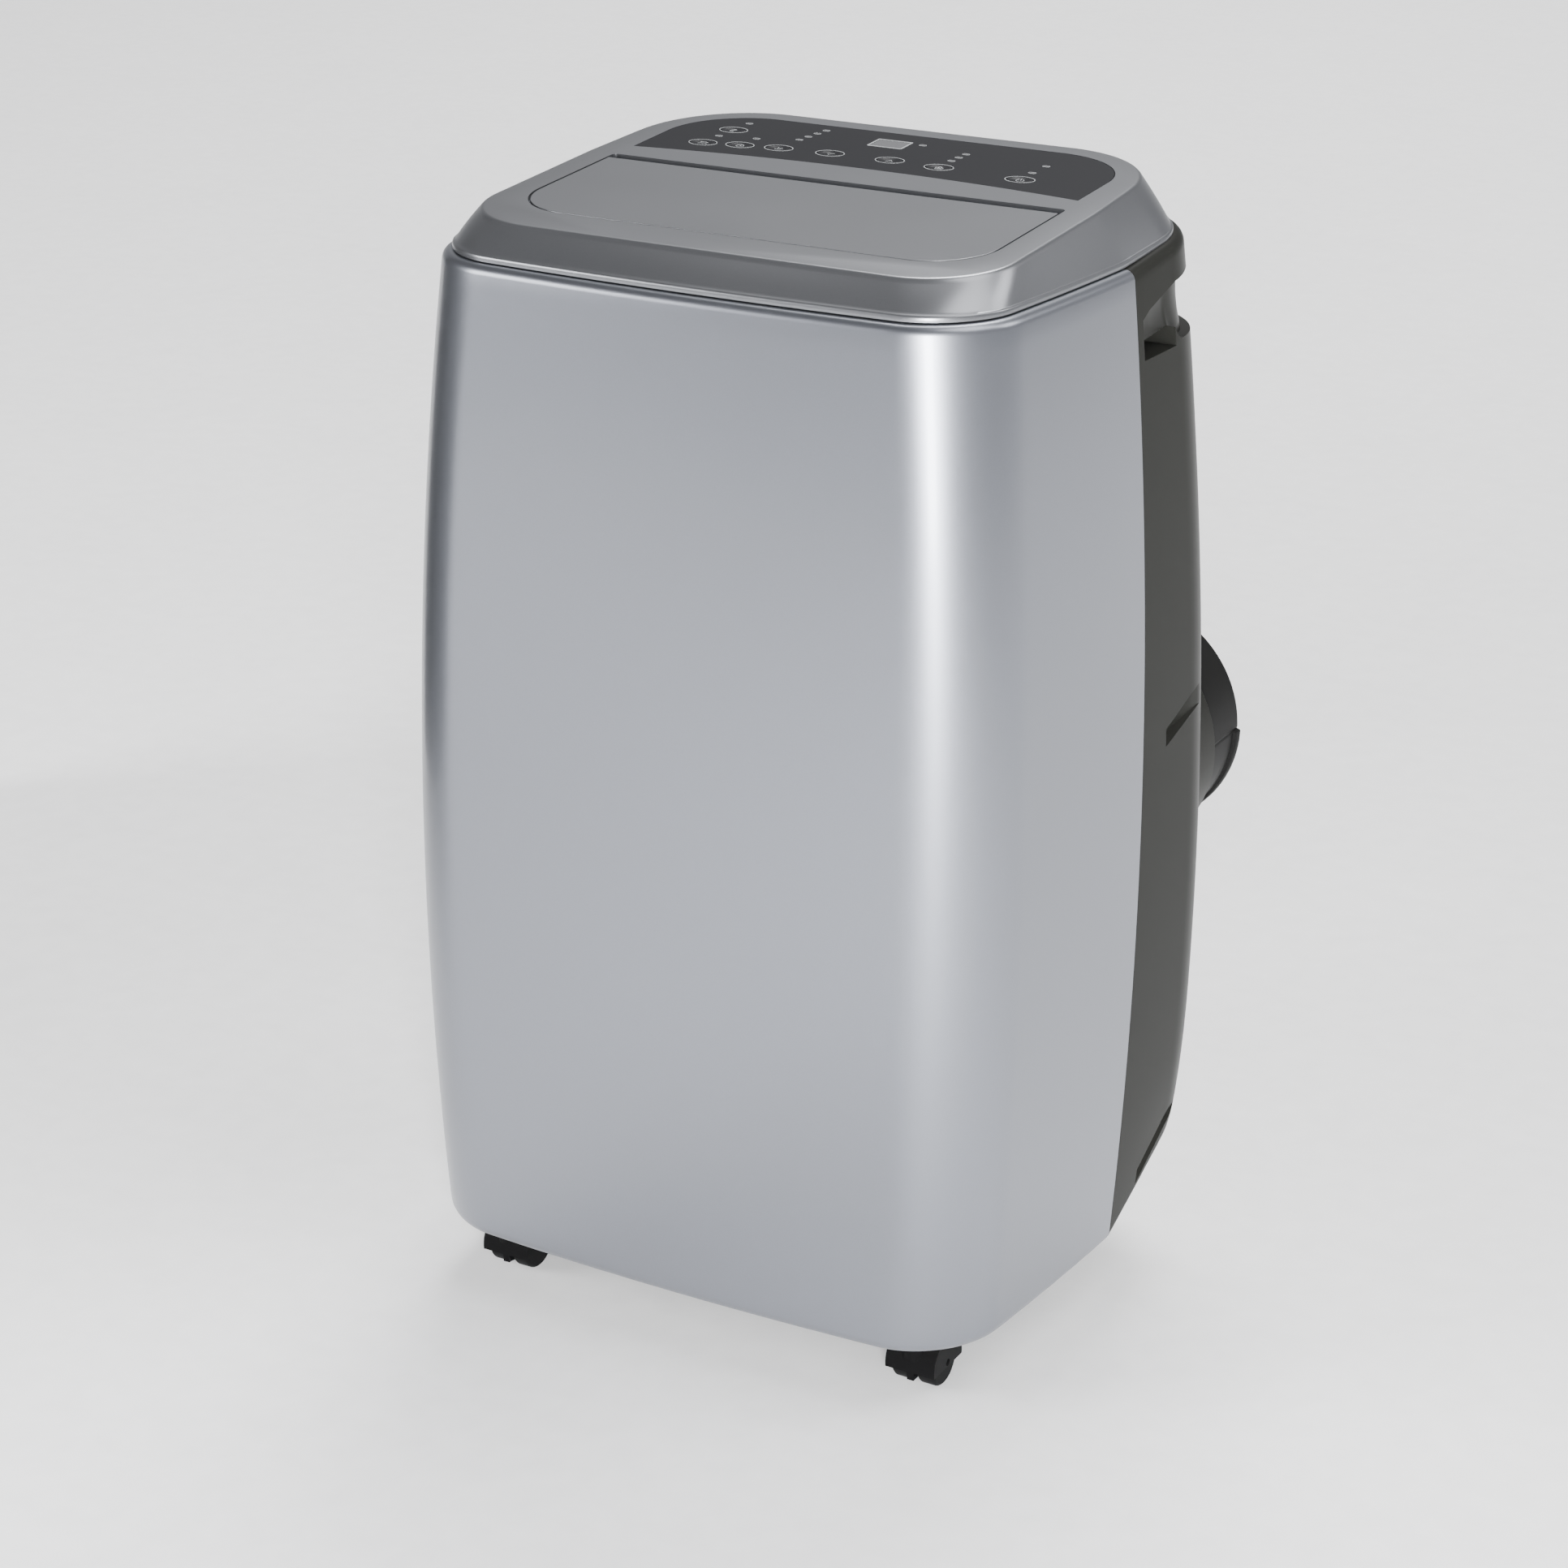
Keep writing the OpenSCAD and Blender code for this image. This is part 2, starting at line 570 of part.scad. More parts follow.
module outlet_flap() color(satin) centred() on_top() {
    translate([0, 0, -flap_t]) linear_extrude(flap_t) flap_outline(0);
    for (s = [-1, 1]) translate([s * (hinge_x - arm_t / 2), hinge_y, 0]) {
        translate([-arm_t / 2, -5, hinge_z]) cube([arm_t, 10, -hinge_z - flap_t + 0.5]);
        translate([0, 0, hinge_z]) rod_x(5, -arm_t / 2, arm_t / 2);
        translate([0, 0, hinge_z]) rod_x(hinge_pin_d / 2, s > 0 ? 0 : -hinge_pin_l,
            s > 0 ? drive_pin_l : 0);
    }
}

// The outlet frame hangs below the top plate: ledge under the flap, trough behind it, throat and bars
ear_x = hinge_x + 0.6;
ear_t = 5;
module throat(d) translate([-throat_half_w - d, throat_front_y - d])
    square([2 * (throat_half_w + d), throat_rear_y - throat_front_y + 2 * d]);
module outlet_frame() color(inner_black) centred() on_top() difference() {
    union() {
        difference() {
            union() {
                translate([0, 0, frame_seat_z - frame_t]) linear_extrude(frame_t) difference() {
                    offset_recess(flange_b);
                    throat(0);
                }
                translate([0, 0, frame_seat_z - 1]) linear_extrude(1 - top_t - frame_clear - frame_seat_z)
                    offset_recess(flange_b);
                translate([0, hinge_y, hinge_z])
                    rod_x(trough_r + trough_t, -flap_w / 2 - 0.4, flap_w / 2 + 0.4);
                translate([0, 0, throat_bottom_z - top_mid_z])
                    linear_extrude(top_mid_z - throat_bottom_z + frame_seat_z - frame_t) throat(2);
            }
            translate([0, hinge_y, hinge_z]) rod_x(trough_r, -flap_w, flap_w);
            translate([0, 0, throat_bottom_z - top_mid_z - 1]) linear_extrude(100) throat(0);
            block([-flap_w, flap_w], [throat_rear_y + 2.1, flap_rear_y + flap_groove + 20],
                [frame_seat_z, 20]);
            translate([0, 0, frame_seat_z]) linear_extrude(20) offset_recess(0);
        }
        for (s = [-1, 1]) translate([s * (ear_x + ear_t / 2), hinge_y, hinge_z]) {
            rod_x(hinge_pin_d / 2 + 1.1, -ear_t / 2, ear_t / 2);
            translate([-ear_t / 2, -3, -trough_r - 0.5]) cube([ear_t, 6, trough_r + 0.5]);
        }
        for (z = [vane_top + 0.3, vane_top - vane_h - bar_t - 0.3]) translate([0, vane_y, z])
            translate([-throat_half_w - 1, -bar_b / 2, 0]) cube([2 * throat_half_w + 2, bar_b, bar_t]);
    }
    for (s = [-1, 1]) translate([s * (ear_x + ear_t / 2), hinge_y, hinge_z])
        rod_x(hinge_pin_d / 2 + pin_fit, -ear_t, ear_t);
    translate([ear_x + ear_t, hinge_y, hinge_z]) rod_x(hinge_pin_d / 2 + frame_clear, 0, drive_pin_l);
    for (i = [0:vane_n - 1]) translate([vane_x(i), vane_y, vane_top - vane_h - 10])
        cylinder(r = vane_pin_d / 2 + pin_fit, h = vane_h + 20, $fn = 32);
}
module offset_recess(d) union() {
    flap_outline(flap_gap + d);
    translate([-flap_w / 2 - flap_gap - d, flap_rear_y]) square([flap_w + 2 * (flap_gap + d),
        flap_groove + d]);
}

function vane_x(i) = (i - (vane_n - 1) / 2) * vane_pitch;
module vane(i) color(inner_black) centred() on_top() translate([vane_x(i), vane_y, 0]) difference() {
    union() {
        translate([-vane_t / 2, -vane_l / 2, vane_top - vane_h]) cube([vane_t, vane_l, vane_h]);
        translate([0, 0, vane_top - vane_h]) cylinder(r = vane_pin_d / 2 + 0.8, h = vane_h, $fn = 32);
        translate([0, 0, vane_top - vane_h - bar_t]) cylinder(r = vane_pin_d / 2, h = vane_h +
            2 * bar_t, $fn = 32);
        translate([0, link_pin_y, vane_top - vane_h]) cylinder(r = 3.2, h = 3, $fn = 32);
    }
    translate([0, link_pin_y, vane_top - vane_h - 1]) cylinder(r = 1.5 + pin_fit, h = 5, $fn = 32);
}
module vane_1() vane(0);
module vane_2() vane(1);
module vane_3() vane(2);
module vane_4() vane(3);
module vane_5() vane(4);
module vane_6() vane(5);
module vane_link() color(inner_black) centred() on_top() {
    translate([vane_x(0) - 4, vane_y + link_pin_y - link_b / 2, vane_top - vane_h - link_t - 0.4])
        cube([vane_x(vane_n - 1) - vane_x(0) + 8, link_b, link_t]);
    for (i = [0:vane_n - 1]) translate([vane_x(i), vane_y + link_pin_y, vane_top - vane_h - 1])
        cylinder(r = 1.5, h = 3.4, $fn = 32);
}

module flap_motor() color("#C9C9C4") centred() on_top() translate([0, hinge_y, hinge_z]) difference() {
    union() {
        translate([0, 0, -11]) rod_x(12, motor_x, motor_x + 9);
        translate([0, 0, -11]) rod_x(9, motor_x + 8, motor_x + 12);
        hull() {
            rod_x(4.2, motor_x, motor_x + 4);
            translate([0, 0, -8]) rod_x(6, motor_x, motor_x + 4);
        }
    }
    rod_x(hinge_pin_d / 2 + pin_fit, motor_x - 1, hinge_x - arm_t / 2 + drive_pin_l + 0.5);
}

// ---------- base and castors ----------

function pan_ring(z, d) =
    let (hw = half_w(foot_z) - wall - pan_clear - d, yf = front_y(foot_z) + wall + pan_clear + d,
        half = warp(concat(front_half(hw, yf, front_r - 6, seam_y),
            [for (i = [1:15]) rear_half(hw, pan_rear_y - d + 1.05 * max(0, z - pan_z - 8), rear_r - 14,
                seam_y)[i]]),
            hw, yf))
    closed_ring(half);
module base_pan() color(inner_black) centred() difference() {
    union() {
        difference() {
            loft([for (l = [[0, 12], [3, 9], [8, 8], [34, 8], [60, 8]])
                at_z(pan_ring(pan_z + l[0], l[1]), pan_z + l[0])]);
            loft([for (l = [[pan_t, 12], [12, 10], [34, 10], [61, 10]])
                at_z(pan_ring(pan_z + l[0], l[1]), pan_z + l[0])]);
        }
        translate([float_place[0], float_place[1], pan_z + 1]) cylinder(r = float_post_r, h = 44, $fn = 32);
        for (p = castor_places()) translate([p[0], p[1], pan_z]) cylinder(r = stem_d / 2 + 5, h =
            stem_socket_h, $fn = 48);
        translate([drain_lower[0], 0, drain_lower[1]]) rod_y(drain_r, pan_rear_y - 12, drain_lower_end);
    }
    for (p = castor_places()) translate([p[0], p[1], pan_z - 1])
        cylinder(r = stem_d / 2 + pin_fit, h = stem_socket_h - 2, $fn = 48);
    translate([drain_lower[0], 0, drain_lower[1]]) rod_y(drain_r - 2, pan_rear_y - 20, body_d);
    front_cut();
}
// Only the back of the pan is high: elsewhere its wall ends just inside the shells' lower edge
module front_cut() hull() {
    block([-body_w, body_w], [-body_d, -body_d + 1], [pan_z + 24, pan_z + 200]);
    block([-body_w, body_w], [pan_rear_y, pan_rear_y + 1], [pan_z + 24, pan_z + 200]);
    block([-body_w, body_w], [pan_rear_y + 70, pan_rear_y + 71], [pan_z + 84, pan_z + 200]);
}

function castor_places() = [[-castor_x, -castor_front_y], [castor_x, -castor_front_y],
    [-castor_x, castor_rear_y], [castor_x, castor_rear_y]];
web_t = 5;
module castor_fork(i) color(rubber_black) centred() translate(concat(castor_places()[i], [0])) {
    difference() {
        union() {
            translate([-web_t / 2, -7, 8]) cube([web_t, castor_trail + 16, fork_top_z - 10]);
            translate([0, castor_trail, axle_z]) rod_x(7, -web_t / 2, web_t / 2);
            difference() {
                translate([0, castor_trail, axle_z])
                    rod_x(wheel_d / 2 + hood_clear + hood_t, -wheel_w - web_t / 2 - 2.6, wheel_w +
                        web_t / 2 + 2.6);
                translate([0, castor_trail, axle_z])
                    rod_x(wheel_d / 2 + hood_clear, -wheel_w - web_t / 2 - 0.8, -web_t / 2 + 0.01);
                translate([0, castor_trail, axle_z])
                    rod_x(wheel_d / 2 + hood_clear, web_t / 2 - 0.01, wheel_w + web_t / 2 + 0.8);
                block([-50, 50], [-50, 80], [-20, axle_z - 3]);
            }
            translate([0, 0, axle_z + 6]) cylinder(r = stem_d / 2 + 4, h = fork_top_z - axle_z - 6,
                $fn = 48);
        }
        translate([0, castor_trail, axle_z]) rod_x(axle_d / 2 + pin_fit, -wheel_w - 10, wheel_w + 10);
        translate([0, castor_trail, axle_z])
            rod_x(wheel_d / 2 + hood_clear, -wheel_w - web_t / 2 - 0.8, -web_t / 2 + 0.01);
        translate([0, castor_trail, axle_z])
            rod_x(wheel_d / 2 + hood_clear, web_t / 2 - 0.01, wheel_w + web_t / 2 + 0.8);
    }
    translate([0, 0, fork_top_z - 1]) cylinder(r = stem_d / 2, h = stem_socket_h - 2, $fn = 48);
}
module castor_wheel(i) color("#2A2A2A") centred()
    translate(concat(castor_places()[i], [0])) translate([0, castor_trail, axle_z]) {
        for (s = [-1, 1]) translate([s * (web_t / 2 + 0.4 + wheel_w / 2), 0, 0]) rotate([0, 90, 0])
            rotate_extrude($fn = 64) polygon([[0, -wheel_w / 2], [wheel_d / 2 - 1.5, -wheel_w / 2],
                [wheel_d / 2, -wheel_w / 2 + 1.5], [wheel_d / 2, wheel_w / 2 - 1.5],
                [wheel_d / 2 - 1.5, wheel_w / 2], [0, wheel_w / 2]]);
        rod_x(axle_d / 2, -web_t / 2 - 1, web_t / 2 + 1);
    }
module castor_fork_fl() castor_fork(0);
module castor_fork_fr() castor_fork(1);
module castor_fork_rl() castor_fork(2);
module castor_fork_rr() castor_fork(3);
module castor_wheel_fl() castor_wheel(0);
module castor_wheel_fr() castor_wheel(1);
module castor_wheel_rl() castor_wheel(2);
module castor_wheel_rr() castor_wheel(3);

// ---------- cooling circuit ----------

compressor_z = pan_z + pan_t + mount_h;
mount_ring_r = compressor_d / 2 + 4;
module compressor() color(inner_black) centred() translate([compressor_x, compressor_y, compressor_z]) {
    cylinder(r = compressor_d / 2 + 14, h = 3, $fn = 64);
    translate([0, 0, 3]) cylinder(r = compressor_d / 2 - 4, h = 10, $fn = 64);
    translate([0, 0, 12]) cylinder(r = compressor_d / 2, h = compressor_h - 40, $fn = 64);
    translate([0, 0, compressor_h - 30]) intersection() {
        sphere(r = compressor_d / 2, $fn = 64);
        cylinder(r = compressor_d / 2, h = 34, $fn = 64);
    }
    for (a = [20, 140]) rotate(a) translate([compressor_d / 2 - 20, 0, compressor_h]) cylinder(r = 5,
        h = 12, $fn = 32);
}
module compressor_mounts() color(rubber_black) centred() translate([compressor_x, compressor_y, pan_z +
    pan_t])
    for (a = [90, 210, 330]) rotate(a) translate([mount_ring_r, 0, 0]) rotate_extrude($fn = 48)
        polygon([[0, 0], [9, 0], [9, 4], [6.5, 8], [9, 12], [9, mount_h], [0, mount_h]]);

coil_pitch = 25;
module coil(x, z) {
    block([x[0] + 3, x[1] - 3], [coil_y - coil_t, coil_y], z);
    for (s = [0, 1]) block([x[s] - (s > 0 ? 3 : 0), x[s] + (s > 0 ? 0 : 3)], [coil_y - coil_t - 2,
        coil_y + 2], z);
    for (zt = [z[0] + coil_pitch : 2 * coil_pitch : z[1] - coil_pitch], s = [0, 1])
        translate([x[s], coil_y - coil_t / 2, zt]) rotate([0, s > 0 ? 90 : -90, 0]) difference() {
            rotate([90, 0, 0]) rotate_extrude($fn = 48) translate([coil_pitch / 4, 0]) circle(r = 3.5,
                $fn = 24);
            translate([-50, -50, -100.5]) cube([100, 100, 100]);
        }
}
module condenser_coil() color(fin_grey) centred() coil([-160, 28], [118, 410]);
module evaporator_coil() color(fin_grey) centred() coil([-165, 165], [deck_z + deck_t + 0.5, 646]);

pipe_r = 4;
riser_place = [-195, 60];        // the suction pipe climbs through the tray here
riser_hole_r = 9;
riser_top = 600;
module pipe(points) {
    for (i = [0:len(points) - 2]) let (a = points[i], b = points[i + 1], d = b - a)
        translate(a) rotate([0, acos(d[2] / norm(d)), atan2(d[1], d[0])]) cylinder(r = pipe_r, h =
            norm(d), $fn = 32);
    for (i = [1:len(points) - 2]) translate(points[i]) sphere(r = pipe_r + 0.4, $fn = 32);
}
pipe_top = compressor_z + compressor_h + 13;
function head_port(a) = [compressor_x + (compressor_d / 2 - 20) * cos(a),
    compressor_y + (compressor_d / 2 - 20) * sin(a)];
module refrigerant_pipes() color(copper) centred() {
    pipe([[head_port(20)[0], head_port(20)[1], pipe_top], [head_port(20)[0], head_port(20)[1],
        pipe_top + 60],
        [-20, 60, pipe_top + 60], [-20, 98, pipe_top + 60]]);
    pipe([[head_port(140)[0], head_port(140)[1], pipe_top], [head_port(140)[0], head_port(140)[1],
        pipe_top + 40],
        [riser_place[0], riser_place[1], pipe_top + 40],
        [riser_place[0], riser_place[1], deck_z - 6]]);
    pipe([[riser_place[0], riser_place[1], deck_z + deck_t + 6], [riser_place[0], riser_place[1],
        riser_top],
        [riser_place[0], 112, riser_top], [-176, 112, riser_top]]);
}

// ---------- fans ----------

blade_n = 24;
module fan_wheel(d, y0, y1) {
    difference() {
        union() {
            rod_y(d / 2, y0, y0 + 2);
            tube_y(d / 2, 12, y1 - 2, y1);
            for (i = [0:blade_n - 1]) rotate([0, 360 / blade_n * i, 0]) translate([d / 2 - 11, y0, 0])
                rotate([0, 32, 0]) translate([0, 0, -0.6]) cube([10.5, y1 - y0, 1.2]);
            rod_y(shaft_d / 2 + 7, y0, y0 + 26);
        }
        rod_y(shaft_d / 2 + shaft_fit, y0 - 1, y0 + 40);
    }
}
module upper_fan() color(inner_black) centred() translate([0, 0, upper_fan_z]) fan_wheel(upper_fan_d,
    upper_wheel_y[0], upper_wheel_y[1]);
module lower_fan() color(inner_black) centred() translate([lower_fan_x, 0, lower_fan_z])
    fan_wheel(lower_fan_d, lower_wheel_y[0], lower_wheel_y[1]);

module fan_motor(y_face, y_shaft) {
    rod_y(40, y_face - 62, y_face);
    rod_y(22, y_face - 66, y_face - 61);
    rod_y(shaft_d / 2, y_face - 1, y_shaft);
    for (a = [45:90:315]) rotate([0, a, 0]) translate([44, 0, 0]) rod_y(5, y_face - 6, y_face);
    for (a = [45:90:315]) rotate([0, a, 0]) translate([32, y_face - 5, -4]) cube([12, 4, 8]);
}
module upper_motor() color("#8C8F93") centred() translate([0, 0, upper_fan_z]) fan_motor(upper_fan_y[0],
    upper_wheel_y[0] + 24);
module lower_motor() color("#8C8F93") centred() translate([lower_fan_x, 0, lower_fan_z])
    fan_motor(lower_fan_y[0], lower_wheel_y[0] + 24);

scroll_t = 2;
module lower_scroll() color(inner_black) centred() difference() {
    union() {
        upright(lower_fan_y[0], lower_fan_y[1]) lower_scroll_outline(0);
        translate([exhaust_x, 0, exhaust_z]) rod_y(duct_r + scroll_t, lower_fan_y[1] - 1,
            socket_front_y - 0.8);
    }
    upright(lower_fan_y[0] + scroll_t, lower_fan_y[1] - scroll_t) lower_scroll_outline(scroll_t);
    translate([lower_fan_x, 0, lower_fan_z]) rod_y(lower_fan_d / 2 - 14, lower_fan_y[1] - 10,
        lower_fan_y[1] + 10);
    translate([lower_fan_x, 0, lower_fan_z]) rod_y(shaft_d / 2 + 3, lower_fan_y[0] - 10,
        lower_fan_y[0] + 10);
    translate([exhaust_x, 0, exhaust_z]) rod_y(duct_r, lower_fan_y[1] - 20, body_d);
}
module lower_scroll_outline(d) {
    translate([lower_fan_x, lower_fan_z]) circle(r = lower_scroll_r - d, $fn = 96);
    translate([neck_x[0] + d, lower_fan_z]) square([neck_x[1] - neck_x[0] - 2 * d,
        neck_top_z - lower_fan_z - d]);
}
plenum_x = throat_half_w + 4;
plenum_y = [throat_front_y - 3, upper_fan_y[1]];
plenum_z = [upper_fan_z + 78, throat_bottom_z - 9];
module upper_scroll() color(inner_black) centred() difference() {
    union() {
        translate([0, 0, upper_fan_z]) rod_y(upper_scroll_r, upper_fan_y[0], upper_fan_y[1]);
        block([-plenum_x, plenum_x], plenum_y, plenum_z);
    }
    translate([0, 0, upper_fan_z]) rod_y(upper_scroll_r - scroll_t, upper_fan_y[0] + scroll_t,
        upper_fan_y[1] - scroll_t);
    block([scroll_t - plenum_x, plenum_x - scroll_t], [plenum_y[0] + scroll_t, plenum_y[1] - scroll_t],
        [plenum_z[0] + scroll_t, plenum_z[1] - scroll_t]);
    block([-throat_half_w, throat_half_w], [throat_front_y + 1, throat_rear_y], [plenum_z[1] - 10,
        plenum_z[1] + 10]);
    translate([0, 0, upper_fan_z]) rod_y(upper_fan_d / 2 - 14, upper_fan_y[1] - 10, upper_fan_y[1] + 10);
    translate([0, 0, upper_fan_z]) rod_y(shaft_d / 2 + 3, upper_fan_y[0] - 10, upper_fan_y[0] + 10);
}

// ---------- trays, boxes and small pieces ----------

module middle_tray() color(inner_black) centred() {
    deck();
    tray_spigot();
}
module deck() difference() {
    loft([for (l = [[deck_z, 9], [deck_z + 16, 9]]) at_z(cabinet_ring(l[0], l[1]), l[0])]);
    loft([for (l = [[deck_z + deck_t, 11.5], [deck_z + 17, 11.5]]) at_z(cabinet_ring(l[0], l[1]), l[0])]);
    translate([riser_place[0], riser_place[1], deck_z - 5]) cylinder(r = riser_hole_r, h = 30, $fn = 32);
    translate([exhaust_x, 0, exhaust_z]) rod_y(socket_r + shell_gap, socket_front_y - shell_gap, body_d);
    block([upper_window[0][0] - 6, upper_window[0][1] + 6], [coil_y + 4, body_d], [deck_z + deck_t,
        deck_z + 30]);
}
module tray_spigot() translate([drain_upper[0], 0, drain_upper[1]]) difference() {
    union() {
        rod_y(drain_r, coil_y - 10, wall_at(drain_upper) - 4);
        block([-drain_r + 2, drain_r - 2], [coil_y - 10, coil_y + 12], [0, deck_z - drain_upper[1] + 2]);
    }
    rod_y(drain_r - 2, coil_y - 2, body_d);
    translate([0, coil_y + 4, 0]) cylinder(r = 4, h = 60, $fn = 32);
}

module electrical_box() color("#9EA3A6") centred() {
    block([-70, 70], [-150, -84], [300, 420]);
    for (x = [-40, 0, 40]) translate([x, -120, 292]) cylinder(r = 6, h = 10, $fn = 24);
}
module run_capacitor() color("#D9DADB") centred() translate([-150, -90, deck_z - 110]) {
    cylinder(r = 20, h = 90, $fn = 48);
    for (s = [-1, 1]) translate([s * 7, 0, 89]) cylinder(r = 2.5, h = 9, $fn = 24);
}
module water_float() color("#E3E1D8") centred() translate([float_place[0], float_place[1], pan_z +
    pan_t + 4]) difference() {
    cylinder(r = 14, h = 16, $fn = 48);
    translate([0, 0, -1]) cylinder(r = float_post_r + 0.4, h = 30, $fn = 32);
}

// Grilles: slatted plates in the two rear windows, leaning with the back
function lean(w) = atan((rear_y(w[1][0]) - rear_y(w[1][1])) / (w[1][1] - w[1][0]));
module in_window(w) translate([0, rear_y(w[1][0]), w[1][0]]) rotate([lean(w), 0, 0]) children();
module slatted(w, frame_b) difference() {
    square([w[0][1] - w[0][0] - 2 * grille_gap, w[1][1] - w[1][0] - 2 * grille_gap]);
    for (z = [frame_b : slat_pitch : w[1][1] - w[1][0] - 2 * grille_gap - frame_b - slat_pitch + slat_b],
        h = [0, 1]) let (half = (w[0][1] - w[0][0] - 2 * grille_gap - 3 * frame_b) / 2)
        translate([frame_b + h * (half + frame_b), z]) square([half, slat_pitch - slat_b]);
}
module grille(w) in_window(w) translate([w[0][0] + grille_gap, -0.4, grille_gap]) {
    rotate([90, 0, 0]) linear_extrude(grille_t) slatted(w, 10);
    for (s = [0, 1]) translate([s > 0 ? w[0][1] - w[0][0] - 2 * grille_gap - 2 : 0, -14, 0])
        cube([2, 12, w[1][1] - w[1][0] - 2 * grille_gap - 1]);
}
module filter(w) in_window(w) translate([w[0][0] + grille_gap + 3, -13, 4]) {
    rotate([90, 0, 0]) linear_extrude(3) difference() {
        square([w[0][1] - w[0][0] - 2 * grille_gap - 6, w[1][1] - w[1][0] - 12]);
        for (i = [0:3]) let (u = (w[0][1] - w[0][0] - 2 * grille_gap - 6 - 5 * 5) / 4)
            translate([5 + i * (u + 5), 5]) square([u, w[1][1] - w[1][0] - 22]);
    }
    translate([1, -2, 1]) cube([w[0][1] - w[0][0] - 2 * grille_gap - 8, 1, w[1][1] - w[1][0] - 14]);
}
module upper_grille() color(charcoal) centred() grille(upper_window);
module lower_grille() color(charcoal) centred() grille(lower_window);
module upper_filter() color("#55595C") centred() filter(upper_window);
module lower_filter() color("#55595C") centred() filter(lower_window);

// Exhaust: a socket ring in the back takes the hose adapter, which turns a little to lock
socket_front_y = rear_y(exhaust_z) - socket_depth;
module exhaust_socket() color(charcoal) centred() translate([exhaust_x, 0, exhaust_z]) difference() {
    rod_y(socket_r, socket_front_y, rear_y(exhaust_z) + socket_proud);
    rod_y(spigot_r + spigot_fit, socket_front_y + 3, body_d);
    rod_y(duct_r, socket_front_y - 1, body_d);
    rod_y(spigot_r + 3.4, socket_front_y + 4, socket_front_y + 8);
}
lug_l = 12;
collar_y = rear_y(exhaust_z) + socket_proud + 0.4;    // front face of the adapter's collar
module exhaust_adapter() color(charcoal) centred() translate([exhaust_x, 0, exhaust_z]) {
    tube_y(spigot_r, adapter_wall, socket_front_y + socket_proud + 0.4, collar_y + adapter_wall);
    difference() {
        rod_y(adapter_d / 2, collar_y, adapter_end_y);
        rod_y(spigot_r - adapter_wall, 0, collar_y + adapter_wall + 1);
        rod_y(adapter_d / 2 - adapter_wall, collar_y + adapter_wall, body_d);
    }
    for (a = [0, 180]) rotate([0, a, 0]) intersection() {
        tube_y(spigot_r + 3, 4, socket_front_y + 4.5, socket_front_y + 7.5);
        block([0, 200], [0, 200], [-lug_l / 2, lug_l / 2]);
    }
}

// A cap pushed over a drain spigot whose end lies at y_end
module drain_cap(y_end) difference() {
    rod_y(cap_r, y_end + 3 - cap_l, y_end + 3);
    rod_y(drain_r + pin_fit, y_end + 2 - cap_l, y_end + 0.4);
}
module drain_cap_lower() color(rubber_black) centred() translate([drain_lower[0], 0, drain_lower[1]])
    drain_cap(drain_lower_end);
module drain_cap_upper() color(rubber_black) centred() translate([drain_upper[0], 0, drain_upper[1]])
    drain_cap(wall_at(drain_upper) - 4);
module cord_gland() color(rubber_black) centred() translate([gland_place[0], 0, gland_place[1]])
    difference() {
    union() {
        rod_y(gland_r + 1.7, wall_at(gland_place) - 14, wall_at(gland_place) + 2.5);
        rod_y(gland_r + 4, wall_at(gland_place) - 15, wall_at(gland_place) - 10);
    }
    rod_y(gland_r - 3, wall_at(gland_place) - 20, body_d);
}
module case_screws() color("#77797B") centred() for (p = screw_places) translate([p[0], 0, p[1]]) {
    rod_y(1.7, wall_at(p) - 12, wall_at(p) - 1);
    difference() {
        rod_y(screw_head_r, wall_at(p) - 1.35, wall_at(p) + 0.5);
        for (a = [0, 90]) rotate([0, a, 0]) block([-2.2, 2.2], [wall_at(p) - 0.5, wall_at(p) + 2],
            [-0.5, 0.5]);
    }
}

front_shell();
rear_shell();
top_cover();
control_fascia();
display_window();
indicator_lights();
control_board();
button_power();
button_speed();
button_up();
button_down();
button_mode();
button_timer();
button_swing();
button_sleep();
outlet_flap();
flap_motor();
outlet_frame();
vane_1();
vane_2();
vane_3();
vane_4();
vane_5();
vane_6();
vane_link();
base_pan();
castor_fork_fl();
castor_fork_fr();
castor_fork_rl();
castor_fork_rr();
castor_wheel_fl();
castor_wheel_fr();
castor_wheel_rl();
castor_wheel_rr();
compressor();
compressor_mounts();
condenser_coil();
evaporator_coil();
refrigerant_pipes();
lower_scroll();
lower_fan();
lower_motor();
upper_scroll();
upper_fan();
upper_motor();
middle_tray();
electrical_box();
run_capacitor();
upper_grille();
lower_grille();
upper_filter();
lower_filter();
exhaust_socket();
exhaust_adapter();
drain_cap_upper();
drain_cap_lower();
cord_gland();
water_float();
case_screws();
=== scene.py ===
import math

import bmesh
import bpy
from mathutils import Matrix, Vector


